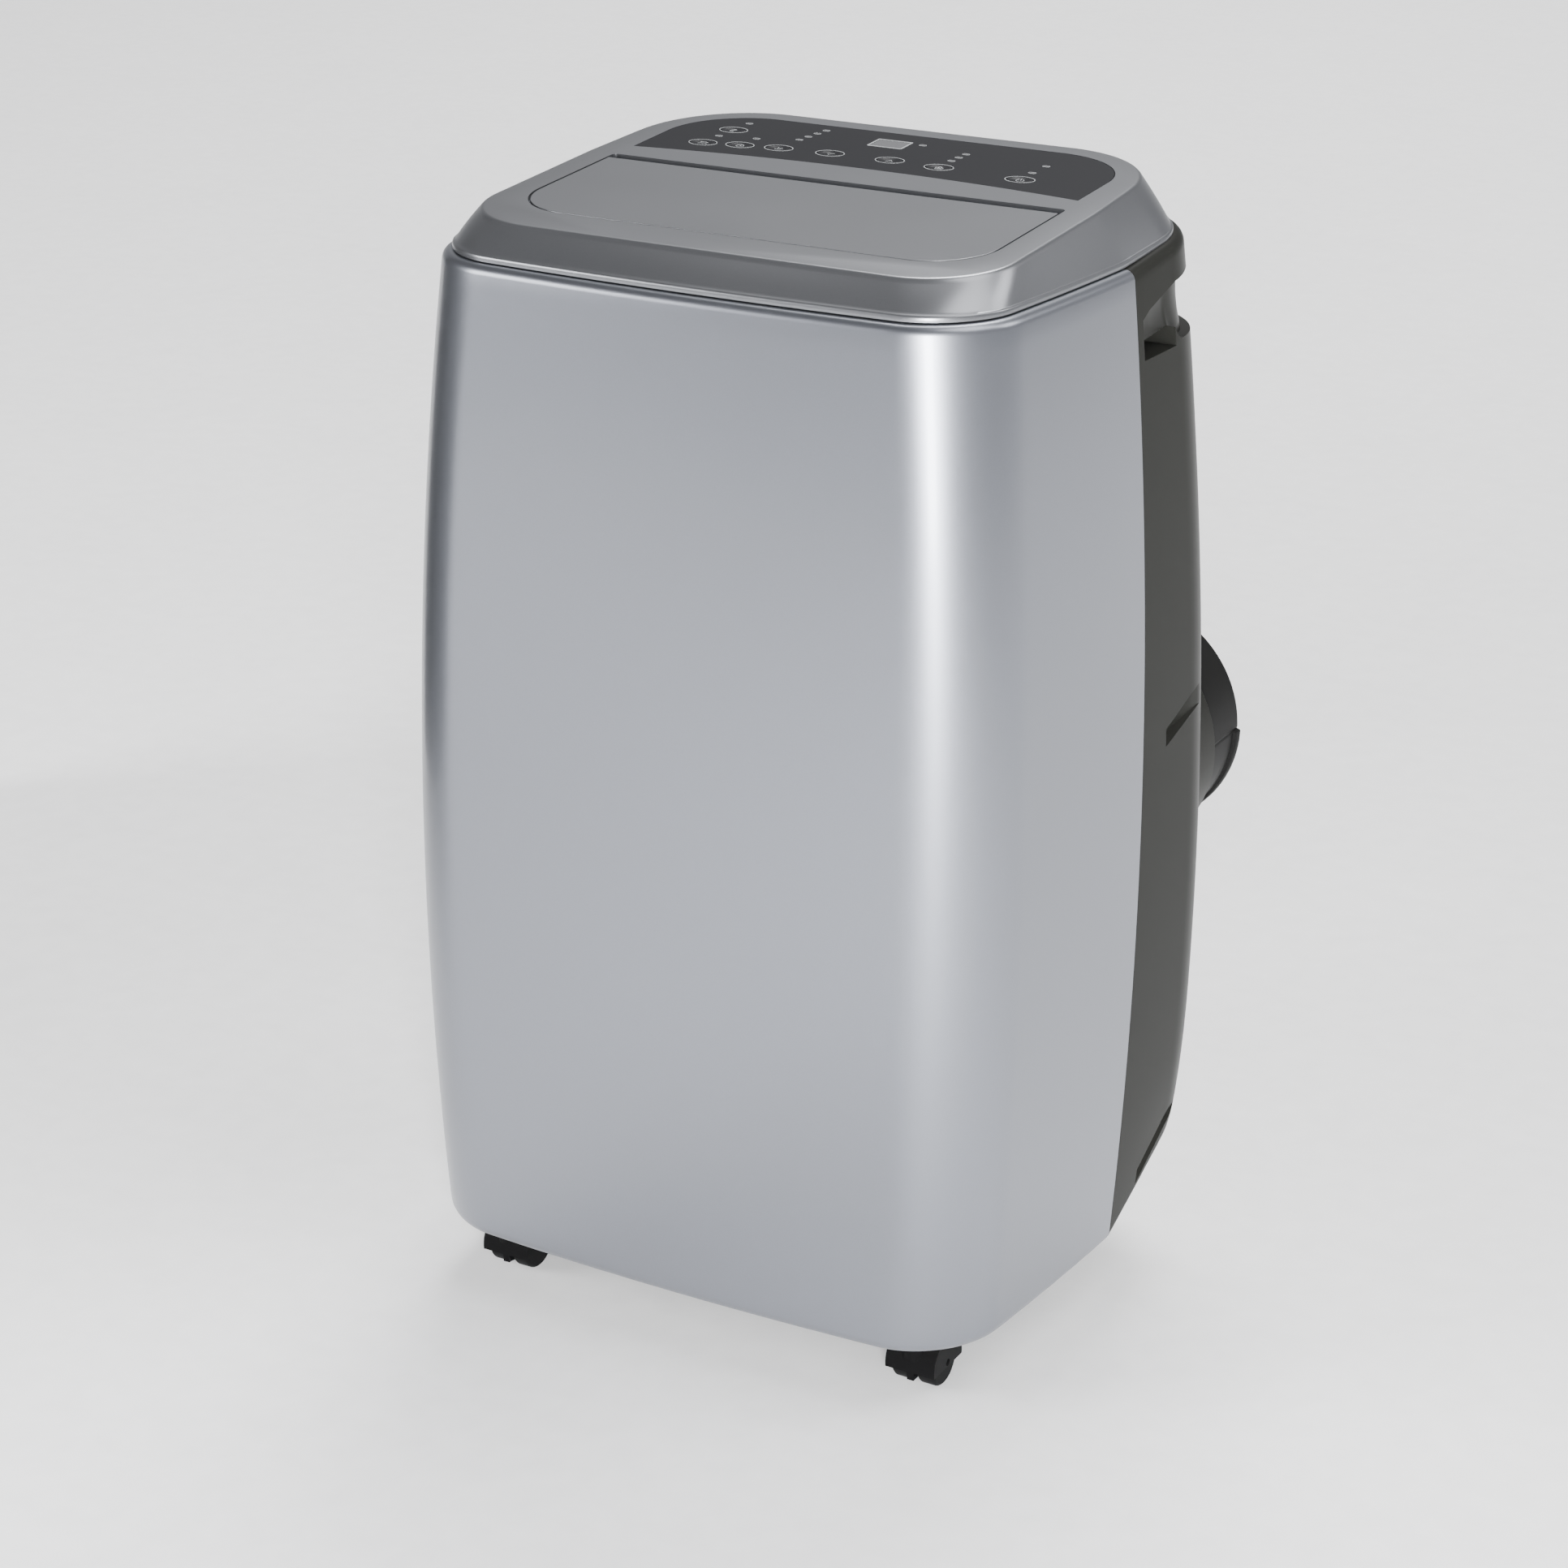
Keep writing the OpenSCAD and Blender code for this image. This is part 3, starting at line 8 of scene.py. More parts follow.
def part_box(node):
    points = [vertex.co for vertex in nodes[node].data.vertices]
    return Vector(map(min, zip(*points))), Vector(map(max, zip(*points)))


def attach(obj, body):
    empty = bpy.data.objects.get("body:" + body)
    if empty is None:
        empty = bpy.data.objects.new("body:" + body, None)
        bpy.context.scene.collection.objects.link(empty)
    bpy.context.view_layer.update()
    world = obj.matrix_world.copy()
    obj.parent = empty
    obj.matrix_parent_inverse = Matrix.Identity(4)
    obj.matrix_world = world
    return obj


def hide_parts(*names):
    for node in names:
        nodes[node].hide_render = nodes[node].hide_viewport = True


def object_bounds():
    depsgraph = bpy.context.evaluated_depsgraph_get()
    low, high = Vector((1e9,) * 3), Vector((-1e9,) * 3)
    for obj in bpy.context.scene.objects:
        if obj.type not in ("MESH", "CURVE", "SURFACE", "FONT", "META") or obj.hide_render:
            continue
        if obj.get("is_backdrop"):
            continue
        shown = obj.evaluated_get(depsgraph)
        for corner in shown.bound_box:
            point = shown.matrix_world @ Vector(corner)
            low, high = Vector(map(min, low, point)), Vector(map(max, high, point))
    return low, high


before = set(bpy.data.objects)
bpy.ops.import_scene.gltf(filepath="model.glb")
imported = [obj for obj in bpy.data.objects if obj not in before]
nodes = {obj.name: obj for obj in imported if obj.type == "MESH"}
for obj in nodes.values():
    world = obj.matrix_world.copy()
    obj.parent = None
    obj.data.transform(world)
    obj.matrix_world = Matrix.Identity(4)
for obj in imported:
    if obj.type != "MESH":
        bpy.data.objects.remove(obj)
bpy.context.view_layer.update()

# Studio: a white floor that runs out of sight, a grey sky that is lighter at the horizon, and five
# soft boxes. A black cloth flag, which the camera doesn't see, shades the left edge. The camera
# stands before the right front corner, a little above the top.
MM = 0.001
SHIFT_Y = -27.5                  # the cabinet's middle lies this far in front of the box's middle

camera_data = bpy.data.cameras.new("studio_camera")
camera = bpy.data.objects.new("studio_camera", camera_data)
bpy.context.scene.collection.objects.link(camera)
bpy.context.scene.camera = camera
CAMERA_DISTANCE = 2.40893
azimuth, elevation, roll = math.radians(28.896), math.radians(22.265), math.radians(0.43)
aim = Vector((1.55, SHIFT_Y, 325.73)) * MM
backwards = Vector((math.sin(azimuth) * math.cos(elevation),
                    -math.cos(azimuth) * math.cos(elevation), math.sin(elevation)))
camera.location = aim + backwards * CAMERA_DISTANCE
camera.rotation_mode = "QUATERNION"
camera.rotation_quaternion = (-backwards).to_track_quat("-Z", "Y")
camera.rotation_mode = "XYZ"
camera.rotation_euler.rotate_axis("Z", roll)
camera_data.sensor_width = 36
camera_data.lens = 81.69
camera_data.shift_x = -0.01566
camera_data.shift_y = 0.0219
camera_data.clip_start, camera_data.clip_end = 0.05, 100


def soft_box(name, place, target, size, watts):
    light = bpy.data.lights.new(name, "AREA")
    light.shape = "RECTANGLE"
    light.size, light.size_y = size
    light.energy = watts
    lamp = bpy.data.objects.new(name, light)
    lamp.location = place
    lamp.rotation_mode = "QUATERNION"
    lamp.rotation_quaternion = (Vector(target) - Vector(place)).to_track_quat("-Z", "Y")
    bpy.context.scene.collection.objects.link(lamp)


soft_box("corner_strip", (1.42, -2.42, 0.85), (0.15, -0.2, 0.55), (0.42, 1.4), 225)
soft_box("left_front_box", (-2.7, -2.4, 1.7), (-0.4, -0.5, 0.0), (1.8, 1.6), 135)
soft_box("right_high_box", (1.9, 0.1, 3.6), (0.3, 0, 0.0), (2.0, 2.0), 66)
soft_box("rear_box", (3.2, 2.4, 3.2), (0.8, 1.2, 0.0), (2.0, 1.6), 66)
soft_box("far_floor_box", (-1.6, 5.0, 8.0), (-1.6, 4.4, 0.0), (4.0, 4.0), 1200)

world = bpy.data.worlds.new("studio_sky")
bpy.context.scene.world = world
world.use_nodes = True
sky = world.node_tree
sky.nodes.clear()
sky_out = sky.nodes.new("ShaderNodeOutputWorld")
sky_light = sky.nodes.new("ShaderNodeBackground")
sky_ramp = sky.nodes.new("ShaderNodeValToRGB")
sky_axis = sky.nodes.new("ShaderNodeSeparateXYZ")
sky_place = sky.nodes.new("ShaderNodeTexCoord")
sky.links.new(sky_place.outputs["Generated"], sky_axis.inputs[0])
sky.links.new(sky_axis.outputs["Z"], sky_ramp.inputs[0])
sky.links.new(sky_ramp.outputs[0], sky_light.inputs["Color"])
sky.links.new(sky_light.outputs[0], sky_out.inputs[0])
stops = sky_ramp.color_ramp.elements
stops[0].position, stops[0].color = 0.0, (0.80, 0.81, 0.83, 1)
stops[1].position, stops[1].color = 0.16, (0.42, 0.425, 0.44, 1)
for height, grey in ((0.32, 0.33), (0.52, 0.27), (0.74, 0.05), (1.0, 0.05)):
    stop = stops.new(height)
    stop.color = (grey, grey, grey * 1.04, 1)
sky_light.inputs["Strength"].default_value = 0.9


def group_of(name, inputs, outputs):
    """A shader node group with named sockets; returns the tree and its two end nodes."""
    tree = bpy.data.node_groups.new(name, "ShaderNodeTree")
    for label, kind, value in inputs:
        socket = tree.interface.new_socket(name=label, in_out="INPUT", socket_type=kind)
        socket.default_value = value
    for label, kind in outputs:
        tree.interface.new_socket(name=label, in_out="OUTPUT", socket_type=kind)
    return tree, tree.nodes.new("NodeGroupInput"), tree.nodes.new("NodeGroupOutput")


def maths(tree, operation, a, b=None, clamp=False):
    node = tree.nodes.new("ShaderNodeMath")
    node.operation = operation
    node.use_clamp = clamp
    for socket, value in zip(node.inputs, (a, b)):
        if value is None:
            continue
        if isinstance(value, (int, float)):
            socket.default_value = value
        else:
            tree.links.new(value, socket)
    return node.outputs[0]


# Moulded grain: fine bumps and a slow drift of tone that every moulding shows.
grain_tree, grain_in, grain_out = group_of(
    "moulded_grain",
    [("Color", "NodeSocketColor", (0.5, 0.5, 0.5, 1)), ("Grain Scale", "NodeSocketFloat", 900.0),
     ("Roughness", "NodeSocketFloat", 0.45), ("Tone Drift", "NodeSocketFloat", 0.06),
     ("Dust", "NodeSocketFloat", 0.05)],
    [("Color", "NodeSocketColor"), ("Roughness", "NodeSocketFloat"), ("Height", "NodeSocketFloat")])
grain_place = grain_tree.nodes.new("ShaderNodeTexCoord")
fine = grain_tree.nodes.new("ShaderNodeTexNoise")
fine.inputs["Detail"].default_value = 2
slow = grain_tree.nodes.new("ShaderNodeTexNoise")
slow.inputs["Scale"].default_value = 7
slow.inputs["Detail"].default_value = 4
grain_tree.links.new(grain_place.outputs["Object"], fine.inputs["Vector"])
grain_tree.links.new(grain_place.outputs["Object"], slow.inputs["Vector"])
grain_tree.links.new(grain_in.outputs["Grain Scale"], fine.inputs["Scale"])
drift = maths(grain_tree, "MULTIPLY", maths(grain_tree, "SUBTRACT", slow.outputs["Fac"], 0.5),
              grain_in.outputs["Tone Drift"])
speck = maths(grain_tree, "MULTIPLY", maths(grain_tree, "SUBTRACT", fine.outputs["Fac"], 0.5), 0.10)
tone = maths(grain_tree, "ADD", 1.0, maths(grain_tree, "ADD", drift, speck))
tinted = grain_tree.nodes.new("ShaderNodeVectorMath")
tinted.operation = "SCALE"
grain_tree.links.new(grain_in.outputs["Color"], tinted.inputs[0])
grain_tree.links.new(tone, tinted.inputs["Scale"])
facing = grain_tree.nodes.new("ShaderNodeNewGeometry")
facing_axis = grain_tree.nodes.new("ShaderNodeSeparateXYZ")
grain_tree.links.new(facing.outputs["Normal"], facing_axis.inputs[0])
settled = maths(grain_tree, "MULTIPLY",
                maths(grain_tree, "POWER",
                      maths(grain_tree, "MAXIMUM", facing_axis.outputs["Z"], 0.0), 3.0),
                maths(grain_tree, "MULTIPLY", slow.outputs["Fac"], grain_in.outputs["Dust"]))
dusted = grain_tree.nodes.new("ShaderNodeMix")
dusted.data_type = "RGBA"
grain_tree.links.new(settled, dusted.inputs["Factor"])
grain_tree.links.new(tinted.outputs[0], dusted.inputs["A"])
dusted.inputs["B"].default_value = (0.42, 0.41, 0.39, 1)
grain_tree.links.new(dusted.outputs["Result"], grain_out.inputs["Color"])
rough = maths(grain_tree, "ADD", grain_in.outputs["Roughness"],
              maths(grain_tree, "ADD", maths(grain_tree, "MULTIPLY", drift, 0.6), settled), clamp=True)
grain_tree.links.new(rough, grain_out.inputs["Roughness"])
grain_tree.links.new(fine.outputs["Fac"], grain_out.inputs["Height"])


def finish_of(name, colour, roughness, scale=900.0, bump=0.15, depth=0.02 * MM, metallic=0.0,
              coat=0.0, drift=0.06, dust=0.05, specular=0.5):
    """A finish: one shader fed by the moulded grain group with this finish's own values."""
    made = bpy.data.materials.new(name)
    made.use_nodes = True
    tree = made.node_tree
    shader = tree.nodes["Principled BSDF"]
    grain = tree.nodes.new("ShaderNodeGroup")
    grain.node_tree = grain_tree
    grain.inputs["Color"].default_value = (*colour, 1)
    grain.inputs["Grain Scale"].default_value = scale
    grain.inputs["Roughness"].default_value = roughness
    grain.inputs["Tone Drift"].default_value = drift
    grain.inputs["Dust"].default_value = dust
    tree.links.new(grain.outputs["Color"], shader.inputs["Base Color"])
    tree.links.new(grain.outputs["Roughness"], shader.inputs["Roughness"])
    raised = tree.nodes.new("ShaderNodeBump")
    raised.inputs["Strength"].default_value = bump
    raised.inputs["Distance"].default_value = depth
    tree.links.new(grain.outputs["Height"], raised.inputs["Height"])
    tree.links.new(raised.outputs[0], shader.inputs["Normal"])
    shader.inputs["Metallic"].default_value = metallic
    shader.inputs["Coat Weight"].default_value = coat
    shader.inputs["Coat Roughness"].default_value = 0.12
    shader.inputs["Specular IOR Level"].default_value = specular
    return made


def studio_sheet(name, corners, finish):
    """A flat sheet of the studio through four corners, in metres."""
    mesh = bpy.data.meshes.new(name)
    mesh.from_pydata(corners, [], [(0, 1, 2, 3)])
    sheet = bpy.data.objects.new(name, mesh)
    bpy.context.scene.collection.objects.link(sheet)
    mesh.materials.append(finish)
    return sheet


REACH = 14.0
floor = studio_sheet(
    "studio_floor", [(-REACH, -REACH, 0), (REACH, -REACH, 0), (REACH, REACH, 0), (-REACH, REACH, 0)],
    finish_of("white_paper", (0.93, 0.93, 0.935), 0.95, scale=40, bump=0.02, dust=0))
floor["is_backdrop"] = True
FLAG_X, FLAG_Y, FLAG_Z = -1.12, (-0.75, 0.3), (0.02, 1.5)
flag = studio_sheet(
    "studio_flag",
    [(FLAG_X, y, z) for y, z in ((FLAG_Y[0], FLAG_Z[0]), (FLAG_Y[1], FLAG_Z[0]),
                                 (FLAG_Y[1], FLAG_Z[1]), (FLAG_Y[0], FLAG_Z[1]))],
    finish_of("black_cloth", (0.02, 0.02, 0.02), 0.95, scale=300, bump=0.4, dust=0))
flag.visible_camera = False
flag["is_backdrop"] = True

# Front shell: one thin moulding, painted silver, that wraps round both front corners. It is
# fullest below the middle and draws in to the shoulder; its ends are rolled in at top and foot.
WALL = 2.5
FOOT_Z, SHOULDER_Z = 45.0, 722.0
HALF_W, HALF_D = 235.0, 185.0
WIDE_Z, FULL_Z, LOW_Z = 324.9, 277.97, 50.0
FRONT_R, REAR_R = 58.0, 74.0
SEAM_Y, SEAM_GAP = 31.0, 0.6
FOOT_ROLL, SHOULDER_ROLL = 9.0, 6.0
SIDE_BOW, FRONT_BOW, BACK_LEAN = 21.5, 16.5, 27.0
SIDE_TAPER, TAPER_START, FRONT_CROWN = 0.089, 35, 0.047


def half_width(z):
    return HALF_W - SIDE_BOW * ((z - WIDE_Z) / (SHOULDER_Z - WIDE_Z)) ** 2


def front_line(z):
    return -(HALF_D - FRONT_BOW * ((z - FULL_Z) / (SHOULDER_Z - FULL_Z)) ** 2)


def rear_line(z):
    return HALF_D - BACK_LEAN * ((z - LOW_Z) / (SHOULDER_Z - LOW_Z)) ** 2


def drawn_in(x, y, half, front):
    """The sides draw in towards the front, and the front falls back at its corners."""
    taper_y = HALF_D - TAPER_START
    side = SIDE_TAPER * ((taper_y - y) / (taper_y - front)) ** 2 if y < taper_y else 0
    crown = FRONT_CROWN * (x / half) ** 2 if y < 0 else 0
    return x * (1 - side), y * (1 - crown)


def corner(cx, cy, radius, start, end, count):
    steps = [math.radians(start + (end - start) * i / count) for i in range(count + 1)]
    return [(cx + radius * math.cos(a), cy + radius * math.sin(a)) for a in steps]


def front_outline(half, front, radius, end_y, flat=20, bend=22, side=16):
    """Right half of the outline, from the middle of the front to the side at end_y."""
    return ([((half - radius) * i / flat, front) for i in range(flat)]
            + corner(half - radius, front + radius, radius, -90, 0, bend)
            + [(half, front + radius + (end_y - front - radius) * i / side)
               for i in range(1, side + 1)])


def rear_outline(half, rear, radius, start_y, side=16, bend=22, flat=20):
    """Right half of the outline, from the side at start_y to the middle of the back."""
    return ([(half, start_y + (rear - radius - start_y) * i / side) for i in range(side)]
            + corner(half - radius, rear - radius, radius, 0, 90, bend)
            + [((half - radius) * (1 - i / flat), rear) for i in range(1, flat + 1)])


def mirrored(points):
    return [(-x, y) for x, y in reversed(points)]


def roll_levels(foot, top, middle=56):
    """Heights of a shell and how far it is drawn in there, with both edges rolled in."""
    foot_steps = [math.radians(15 * i) for i in range(6)]
    low = [(foot + FOOT_ROLL * (1 - math.cos(a)), FOOT_ROLL * (1 - math.sin(a))) for a in foot_steps]
    start, end = foot + FOOT_ROLL, top - SHOULDER_ROLL
    mid = [(start + (end - start) * i / middle, 0) for i in range(middle)]
    high = [(top - SHOULDER_ROLL * (1 - math.sin(a)), SHOULDER_ROLL * (1 - math.cos(a)))
            for a in [math.radians(15 * i) for i in range(7)]]
    return low + mid + high


def piece_from(name, verts, faces, material, sharp=35):
    """A mesh piece at the origin, from points in millimetres about the cabinet's middle."""
    mesh = bpy.data.meshes.new(name)
    mesh.from_pydata([(x * MM, (y + SHIFT_Y) * MM, z * MM) for x, y, z in verts], [], faces)
    mesh.validate()
    mesh.update()
    made = bpy.data.objects.new(name, mesh)
    bpy.context.scene.collection.objects.link(made)
    mesh.materials.append(material)
    rounded(made, sharp)
    return made


def rounded(piece, sharp=35):
    """Smooth shading, with edges over an angle kept crisp."""
    piece.data.shade_smooth()
    piece.data.set_sharp_from_angle(angle=math.radians(sharp))


def outward(piece):
    work = bmesh.new()
    work.from_mesh(piece.data)
    bmesh.ops.remove_doubles(work, verts=work.verts, dist=0.004 * MM)
    bmesh.ops.recalc_face_normals(work, faces=work.faces)
    work.to_mesh(piece.data)
    work.free()


def walled(rows_out, rows_in, closed):
    """A wall between outer rows and inner rows of points, its two ends capped unless closed."""
    rows = rows_out + rows_in[::-1]
    count, width = len(rows), len(rows[0])
    verts = [p for row in rows for p in row]
    faces = []
    for j in range(count):
        k = (j + 1) % count
        for i in range(width if closed else width - 1):
            m = (i + 1) % width
            faces.append((j * width + i, j * width + m, k * width + m, k * width + i))
    if not closed:
        for j in range(count // 2 - 1):
            a, b = j, count - 1 - j
            faces.append((a * width, (a + 1) * width, (b - 1) * width, b * width))
            faces.append((a * width + width - 1, b * width + width - 1,
                          (b - 1) * width + width - 1, (a + 1) * width + width - 1))
    return verts, faces


def front_row(z, inset):
    half, front = half_width(z) - inset, front_line(z) + inset
    right = [drawn_in(x, y, half, front)
             for x, y in front_outline(half, front, FRONT_R - inset, SEAM_Y - SEAM_GAP / 2)]
    return [(x, y, z) for x, y in mirrored(right[1:]) + right]


silver_paint = finish_of("silver_paint", (0.212, 0.222, 0.250), 0.34, scale=1500, bump=0.45,
                         depth=0.03 * MM, metallic=0.92, coat=0.25, drift=0.03, dust=0.02)
levels = roll_levels(FOOT_Z, SHOULDER_Z)
front_shell = piece_from("front_shell_painted", *walled(
    [front_row(z, d) for z, d in levels], [front_row(z, d + WALL) for z, d in levels], False),
    silver_paint)
outward(front_shell)
rounded(front_shell)
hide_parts("front_shell")
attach(front_shell, "cabinet")

# Rear shell: charcoal moulding with the grain of its tool. Its foot climbs behind the seam. A
# scoop with a finger pocket carries the cabinet, two notches free the grilles, and the back has
# two grille windows and the round exhaust hole.
RIM_CLIMB, FOOT_CLIMB, FOOT_CLIMB_MAX = 0.08, 0.59, 55.0
HANDLE_START, POCKET_END = 42.0, 104.0
CORNER_START, MM_PER_DEGREE, BACK_HALF = 111, 0.75, 160


def climb(y, z):
    behind = max(0.0, y - SEAM_Y)
    return (RIM_CLIMB * behind * max(0.0, (z - SHOULDER_Z + 130) / 130)
            + min(FOOT_CLIMB * behind, FOOT_CLIMB_MAX) * max(0.0, (FOOT_Z + 160 - z) / 160) ** 1.5)


def level_under(y, height):
    """The shell's own level that lies at this real height, y behind the seam."""
    low, high = FOOT_Z, SHOULDER_Z
    for _ in range(30):
        middle = (low + high) / 2
        if middle + climb(y, middle) < height:
            low = middle
        else:
            high = middle
    return (low + high) / 2


def rolled(level):
    """How far the shell's edge is rolled in at a level."""
    if level < FOOT_Z + FOOT_ROLL:
        t = (FOOT_Z + FOOT_ROLL - level) / FOOT_ROLL
        return FOOT_ROLL * (1 - math.sqrt(max(0.0, 1 - t * t)))
    if level > SHOULDER_Z - SHOULDER_ROLL:
        t = (level - SHOULDER_Z + SHOULDER_ROLL) / SHOULDER_ROLL
        return SHOULDER_ROLL * (1 - math.sqrt(max(0.0, 1 - t * t)))
    return 0.0


def ramp(value, points):
    """Straight lines between points of (where, how much)."""
    if value <= points[0][0]:
        return points[0][1]
    for (a, fa), (b, fb) in zip(points, points[1:]):
        if value <= b:
            return fa + (fb - fa) * (value - a) / (b - a)
    return points[-1][1]


# Places along the half outline: the side by y, then the corner by angle, then the back by share
side_places = [SEAM_Y + SEAM_GAP / 2, 34, 38, HANDLE_START - 0.2, HANDLE_START + 0.2, 44, 47, 51, 55,
               59, 63, 67.9, 68.3, 71, 74, 77, 80, 83, 87, 90, 93, 96, 99, 102, POCKET_END - 0.2,
               POCKET_END + 0.2, 107]
corner_places = [1.0 * a for a in range(0, 91, 3)]
BACK_STEPS = 34


def rear_point(place, level, inset):
    half, front, rear = half_width(level) - inset, front_line(level) + inset, rear_line(level) - inset
    radius = REAR_R - inset
    kind, where = place
    if kind == "side":
        share = (where - side_places[0]) / (CORNER_START - side_places[0])
        x, y = half, side_places[0] + (rear - radius - side_places[0]) * share
    elif kind == "corner":
        a = math.radians(where)
        x, y = half - radius + radius * math.cos(a), rear - radius + radius * math.sin(a)
    else:
        x, y = (half - radius) * (1 - where), rear
    return drawn_in(x, y, half, front)


def place_y(place):
    """Distance of a place behind the middle, measured along the side and on round the corner."""
    kind, where = place
    if kind == "side":
        return where
    if kind == "corner":
        return CORNER_START + where * MM_PER_DEGREE
    return CORNER_START + 90 * MM_PER_DEGREE + where * BACK_HALF


places = ([("side", y) for y in side_places] + [("corner", a) for a in corner_places]
          + [("back", (i + 1) / BACK_STEPS) for i in range(BACK_STEPS)])


def feature_lines(s):
    """Real heights of the lines that run along the shell at place s: notch and scoop edges."""
    low = ramp(s, [(31, 52), (69, 75), (123, 108.5), (140, 113)])
    low_top = low + ramp(s, [(31, 8), (69, 11), (119, 12)])
    mid = ramp(s, [(60, 401), (68, 401), (118, 414)])
    mid_top = ramp(s, [(60, 413), (68, 413), (118, 428)])
    pocket = 664.0
    ledge = ramp(s, [(POCKET_END + 0.2, 676), (113, 667)])
    scoop_top = ramp(s, [(42, 689), (56, 694), (89, 700.5), (125, 707), (140, 709)])
    return low, low_top, mid, mid_top, pocket, ledge, scoop_top


def hollow(s, place, band):
    """How deep the shell is pressed in at a place, between two feature lines."""
    if band == "low":
        return ramp(s, [(68.1, 0), (68.3, 8), (95, 6.5), (119, 1.5), (124, 0)])
    if band == "mid":
        return ramp(s, [(68.1, 0), (68.3, 8), (92, 6), (116, 1.2), (120, 0)])
    if band == "pocket":
        return ramp(s, [(42, 0), (42.2, 30), (92, 26), (POCKET_END - 0.2, 20), (POCKET_END + 0.2, 0)])
    deep = ramp(s, [(42, 0), (42.2, 1.6), (60, 3.2), (100, 7.5), (120, 8)])
    if place[0] == "back":
        deep *= ramp(place[1], [(0.0, 1.0), (0.13, 1.0), (0.2, 0.0)])
    return deep


def shell_column(place):
    """Points up the outside and the inside of the rear shell at one place."""
    s = place_y(place)
    _, y_mid = rear_point(place, 400, 0)
    foot = FOOT_Z + climb(y_mid, FOOT_Z)
    top = SHOULDER_Z + climb(y_mid, SHOULDER_Z)
    low, low_top, mid, mid_top, pocket, ledge, scoop_top = feature_lines(s)
    bands = [(foot, low, 7, None), (low, low_top, 5, "low"), (low_top, mid, 22, None),
             (mid, mid_top, 5, "mid"), (mid_top, pocket, 18, None), (pocket, ledge, 4, "pocket"),
             (ledge, scoop_top, 8, "scoop"), (scoop_top, top, 9, None)]
    out, inner = [], []
    edge = 0.15
    for a, b, count, kind in bands:
        for i in range(count + 1):
            share = i / count
            if a == foot:
                share = 1 - math.cos(share * math.pi / 2)
            elif b == top:
                share = math.sin(share * math.pi / 2)
            z = a + edge + (b - a - 2 * edge) * share
            if a == foot and i == 0:
                z = a
            if b == top and i == count:
                z = b
            level = level_under(y_mid, z)
            deep = rolled(level)
            if kind:
                rise = math.sin(math.pi * min(1.0, share)) if kind == "scoop" else 1.0
                deep += hollow(s, place, kind) * (0.8 + 0.2 * rise if kind == "scoop" else 1.0)
            out.append((*rear_point(place, level, deep), z))
            inner.append((*rear_point(place, level, deep + WALL), z))
    return out, inner


charcoal_plastic = finish_of("charcoal_plastic", (0.0155, 0.0158, 0.0142), 0.34, scale=1100, bump=0.3,
                             depth=0.03 * MM, drift=0.10, dust=0.02, specular=0.03)
columns = [shell_column(p) for p in places]
columns = columns + [([(-x, y, z) for x, y, z in out], [(-x, y, z) for x, y, z in inner])
                     for out, inner in reversed(columns[:-1])]
rows_out = [[column[0][j] for column in columns] for j in range(len(columns[0][0]))]
rows_in = [[column[1][j] for column in columns] for j in range(len(columns[0][1]))]
rear_shell = piece_from("rear_shell_moulding", *walled(rows_out, rows_in, False), charcoal_plastic, 28)
outward(rear_shell)


def cutter(name, verts, faces):
    made = piece_from(name, verts, faces, charcoal_plastic)
    outward(made)
    return made


def box_cutter(name, x, y, z):
    verts = [(a, b, c) for c in z for b in y for a in x]
    return cutter(name, verts, [(0, 1, 3, 2), (4, 6, 7, 5), (0, 4, 5, 1), (2, 3, 7, 6), (0, 2, 6, 4),
                                (1, 5, 7, 3)])


def round_cutter(name, x, z, radius, y, count=96):
    ring = [(radius * math.cos(2 * math.pi * i / count), radius * math.sin(2 * math.pi * i / count))
            for i in range(count)]
    verts = [(x + a, w, z + b) for w in y for a, b in ring]
    faces = [(i, (i + 1) % count, count + (i + 1) % count, count + i) for i in range(count)]
    return cutter(name, verts, faces + [tuple(range(count)), tuple(range(2 * count - 1, count - 1, -1))])


def cut_away(piece, cutters):
    """The piece less its cutters, as a plain mesh."""
    for tool in cutters:
        step = piece.modifiers.new("cut", "BOOLEAN")
        step.operation = "DIFFERENCE"
        step.solver = "EXACT"
        step.object = tool
    settle(piece)
    for tool in cutters:
        bpy.data.objects.remove(tool)


def settle(piece):
    """Turns the piece with its modifiers into a plain mesh."""
    graph = bpy.context.evaluated_depsgraph_get()
    done = bpy.data.meshes.new_from_object(piece.evaluated_get(graph))
    piece.modifiers.clear()
    piece.data = done


def spot(node, part=0.5):
    """Middle of a CAD node's box in millimetres about the cabinet's middle."""
    low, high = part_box(node)
    return [(low[i] + (high[i] - low[i]) * part) / MM - (SHIFT_Y if i == 1 else 0) for i in range(3)]


UPPER_WINDOW = ((-150, 150), (462, 640))
LOWER_WINDOW = ((-155, 28), (140, 398))
exhaust = spot("exhaust_socket")
cutters = [box_cutter("window", w[0], (128, 250), w[1]) for w in (UPPER_WINDOW, LOWER_WINDOW)]
cutters.append(round_cutter("exhaust_hole", exhaust[0], exhaust[2], 89.6, (128, 250)))
drain = spot("drain_cap_upper")
cutters.append(round_cutter("drain_hole", drain[0], drain[2], 12.2, (138, 250), 48))
cut_away(rear_shell, cutters)
rounded(rear_shell, 28)
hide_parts("rear_shell")
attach(rear_shell, "cabinet")

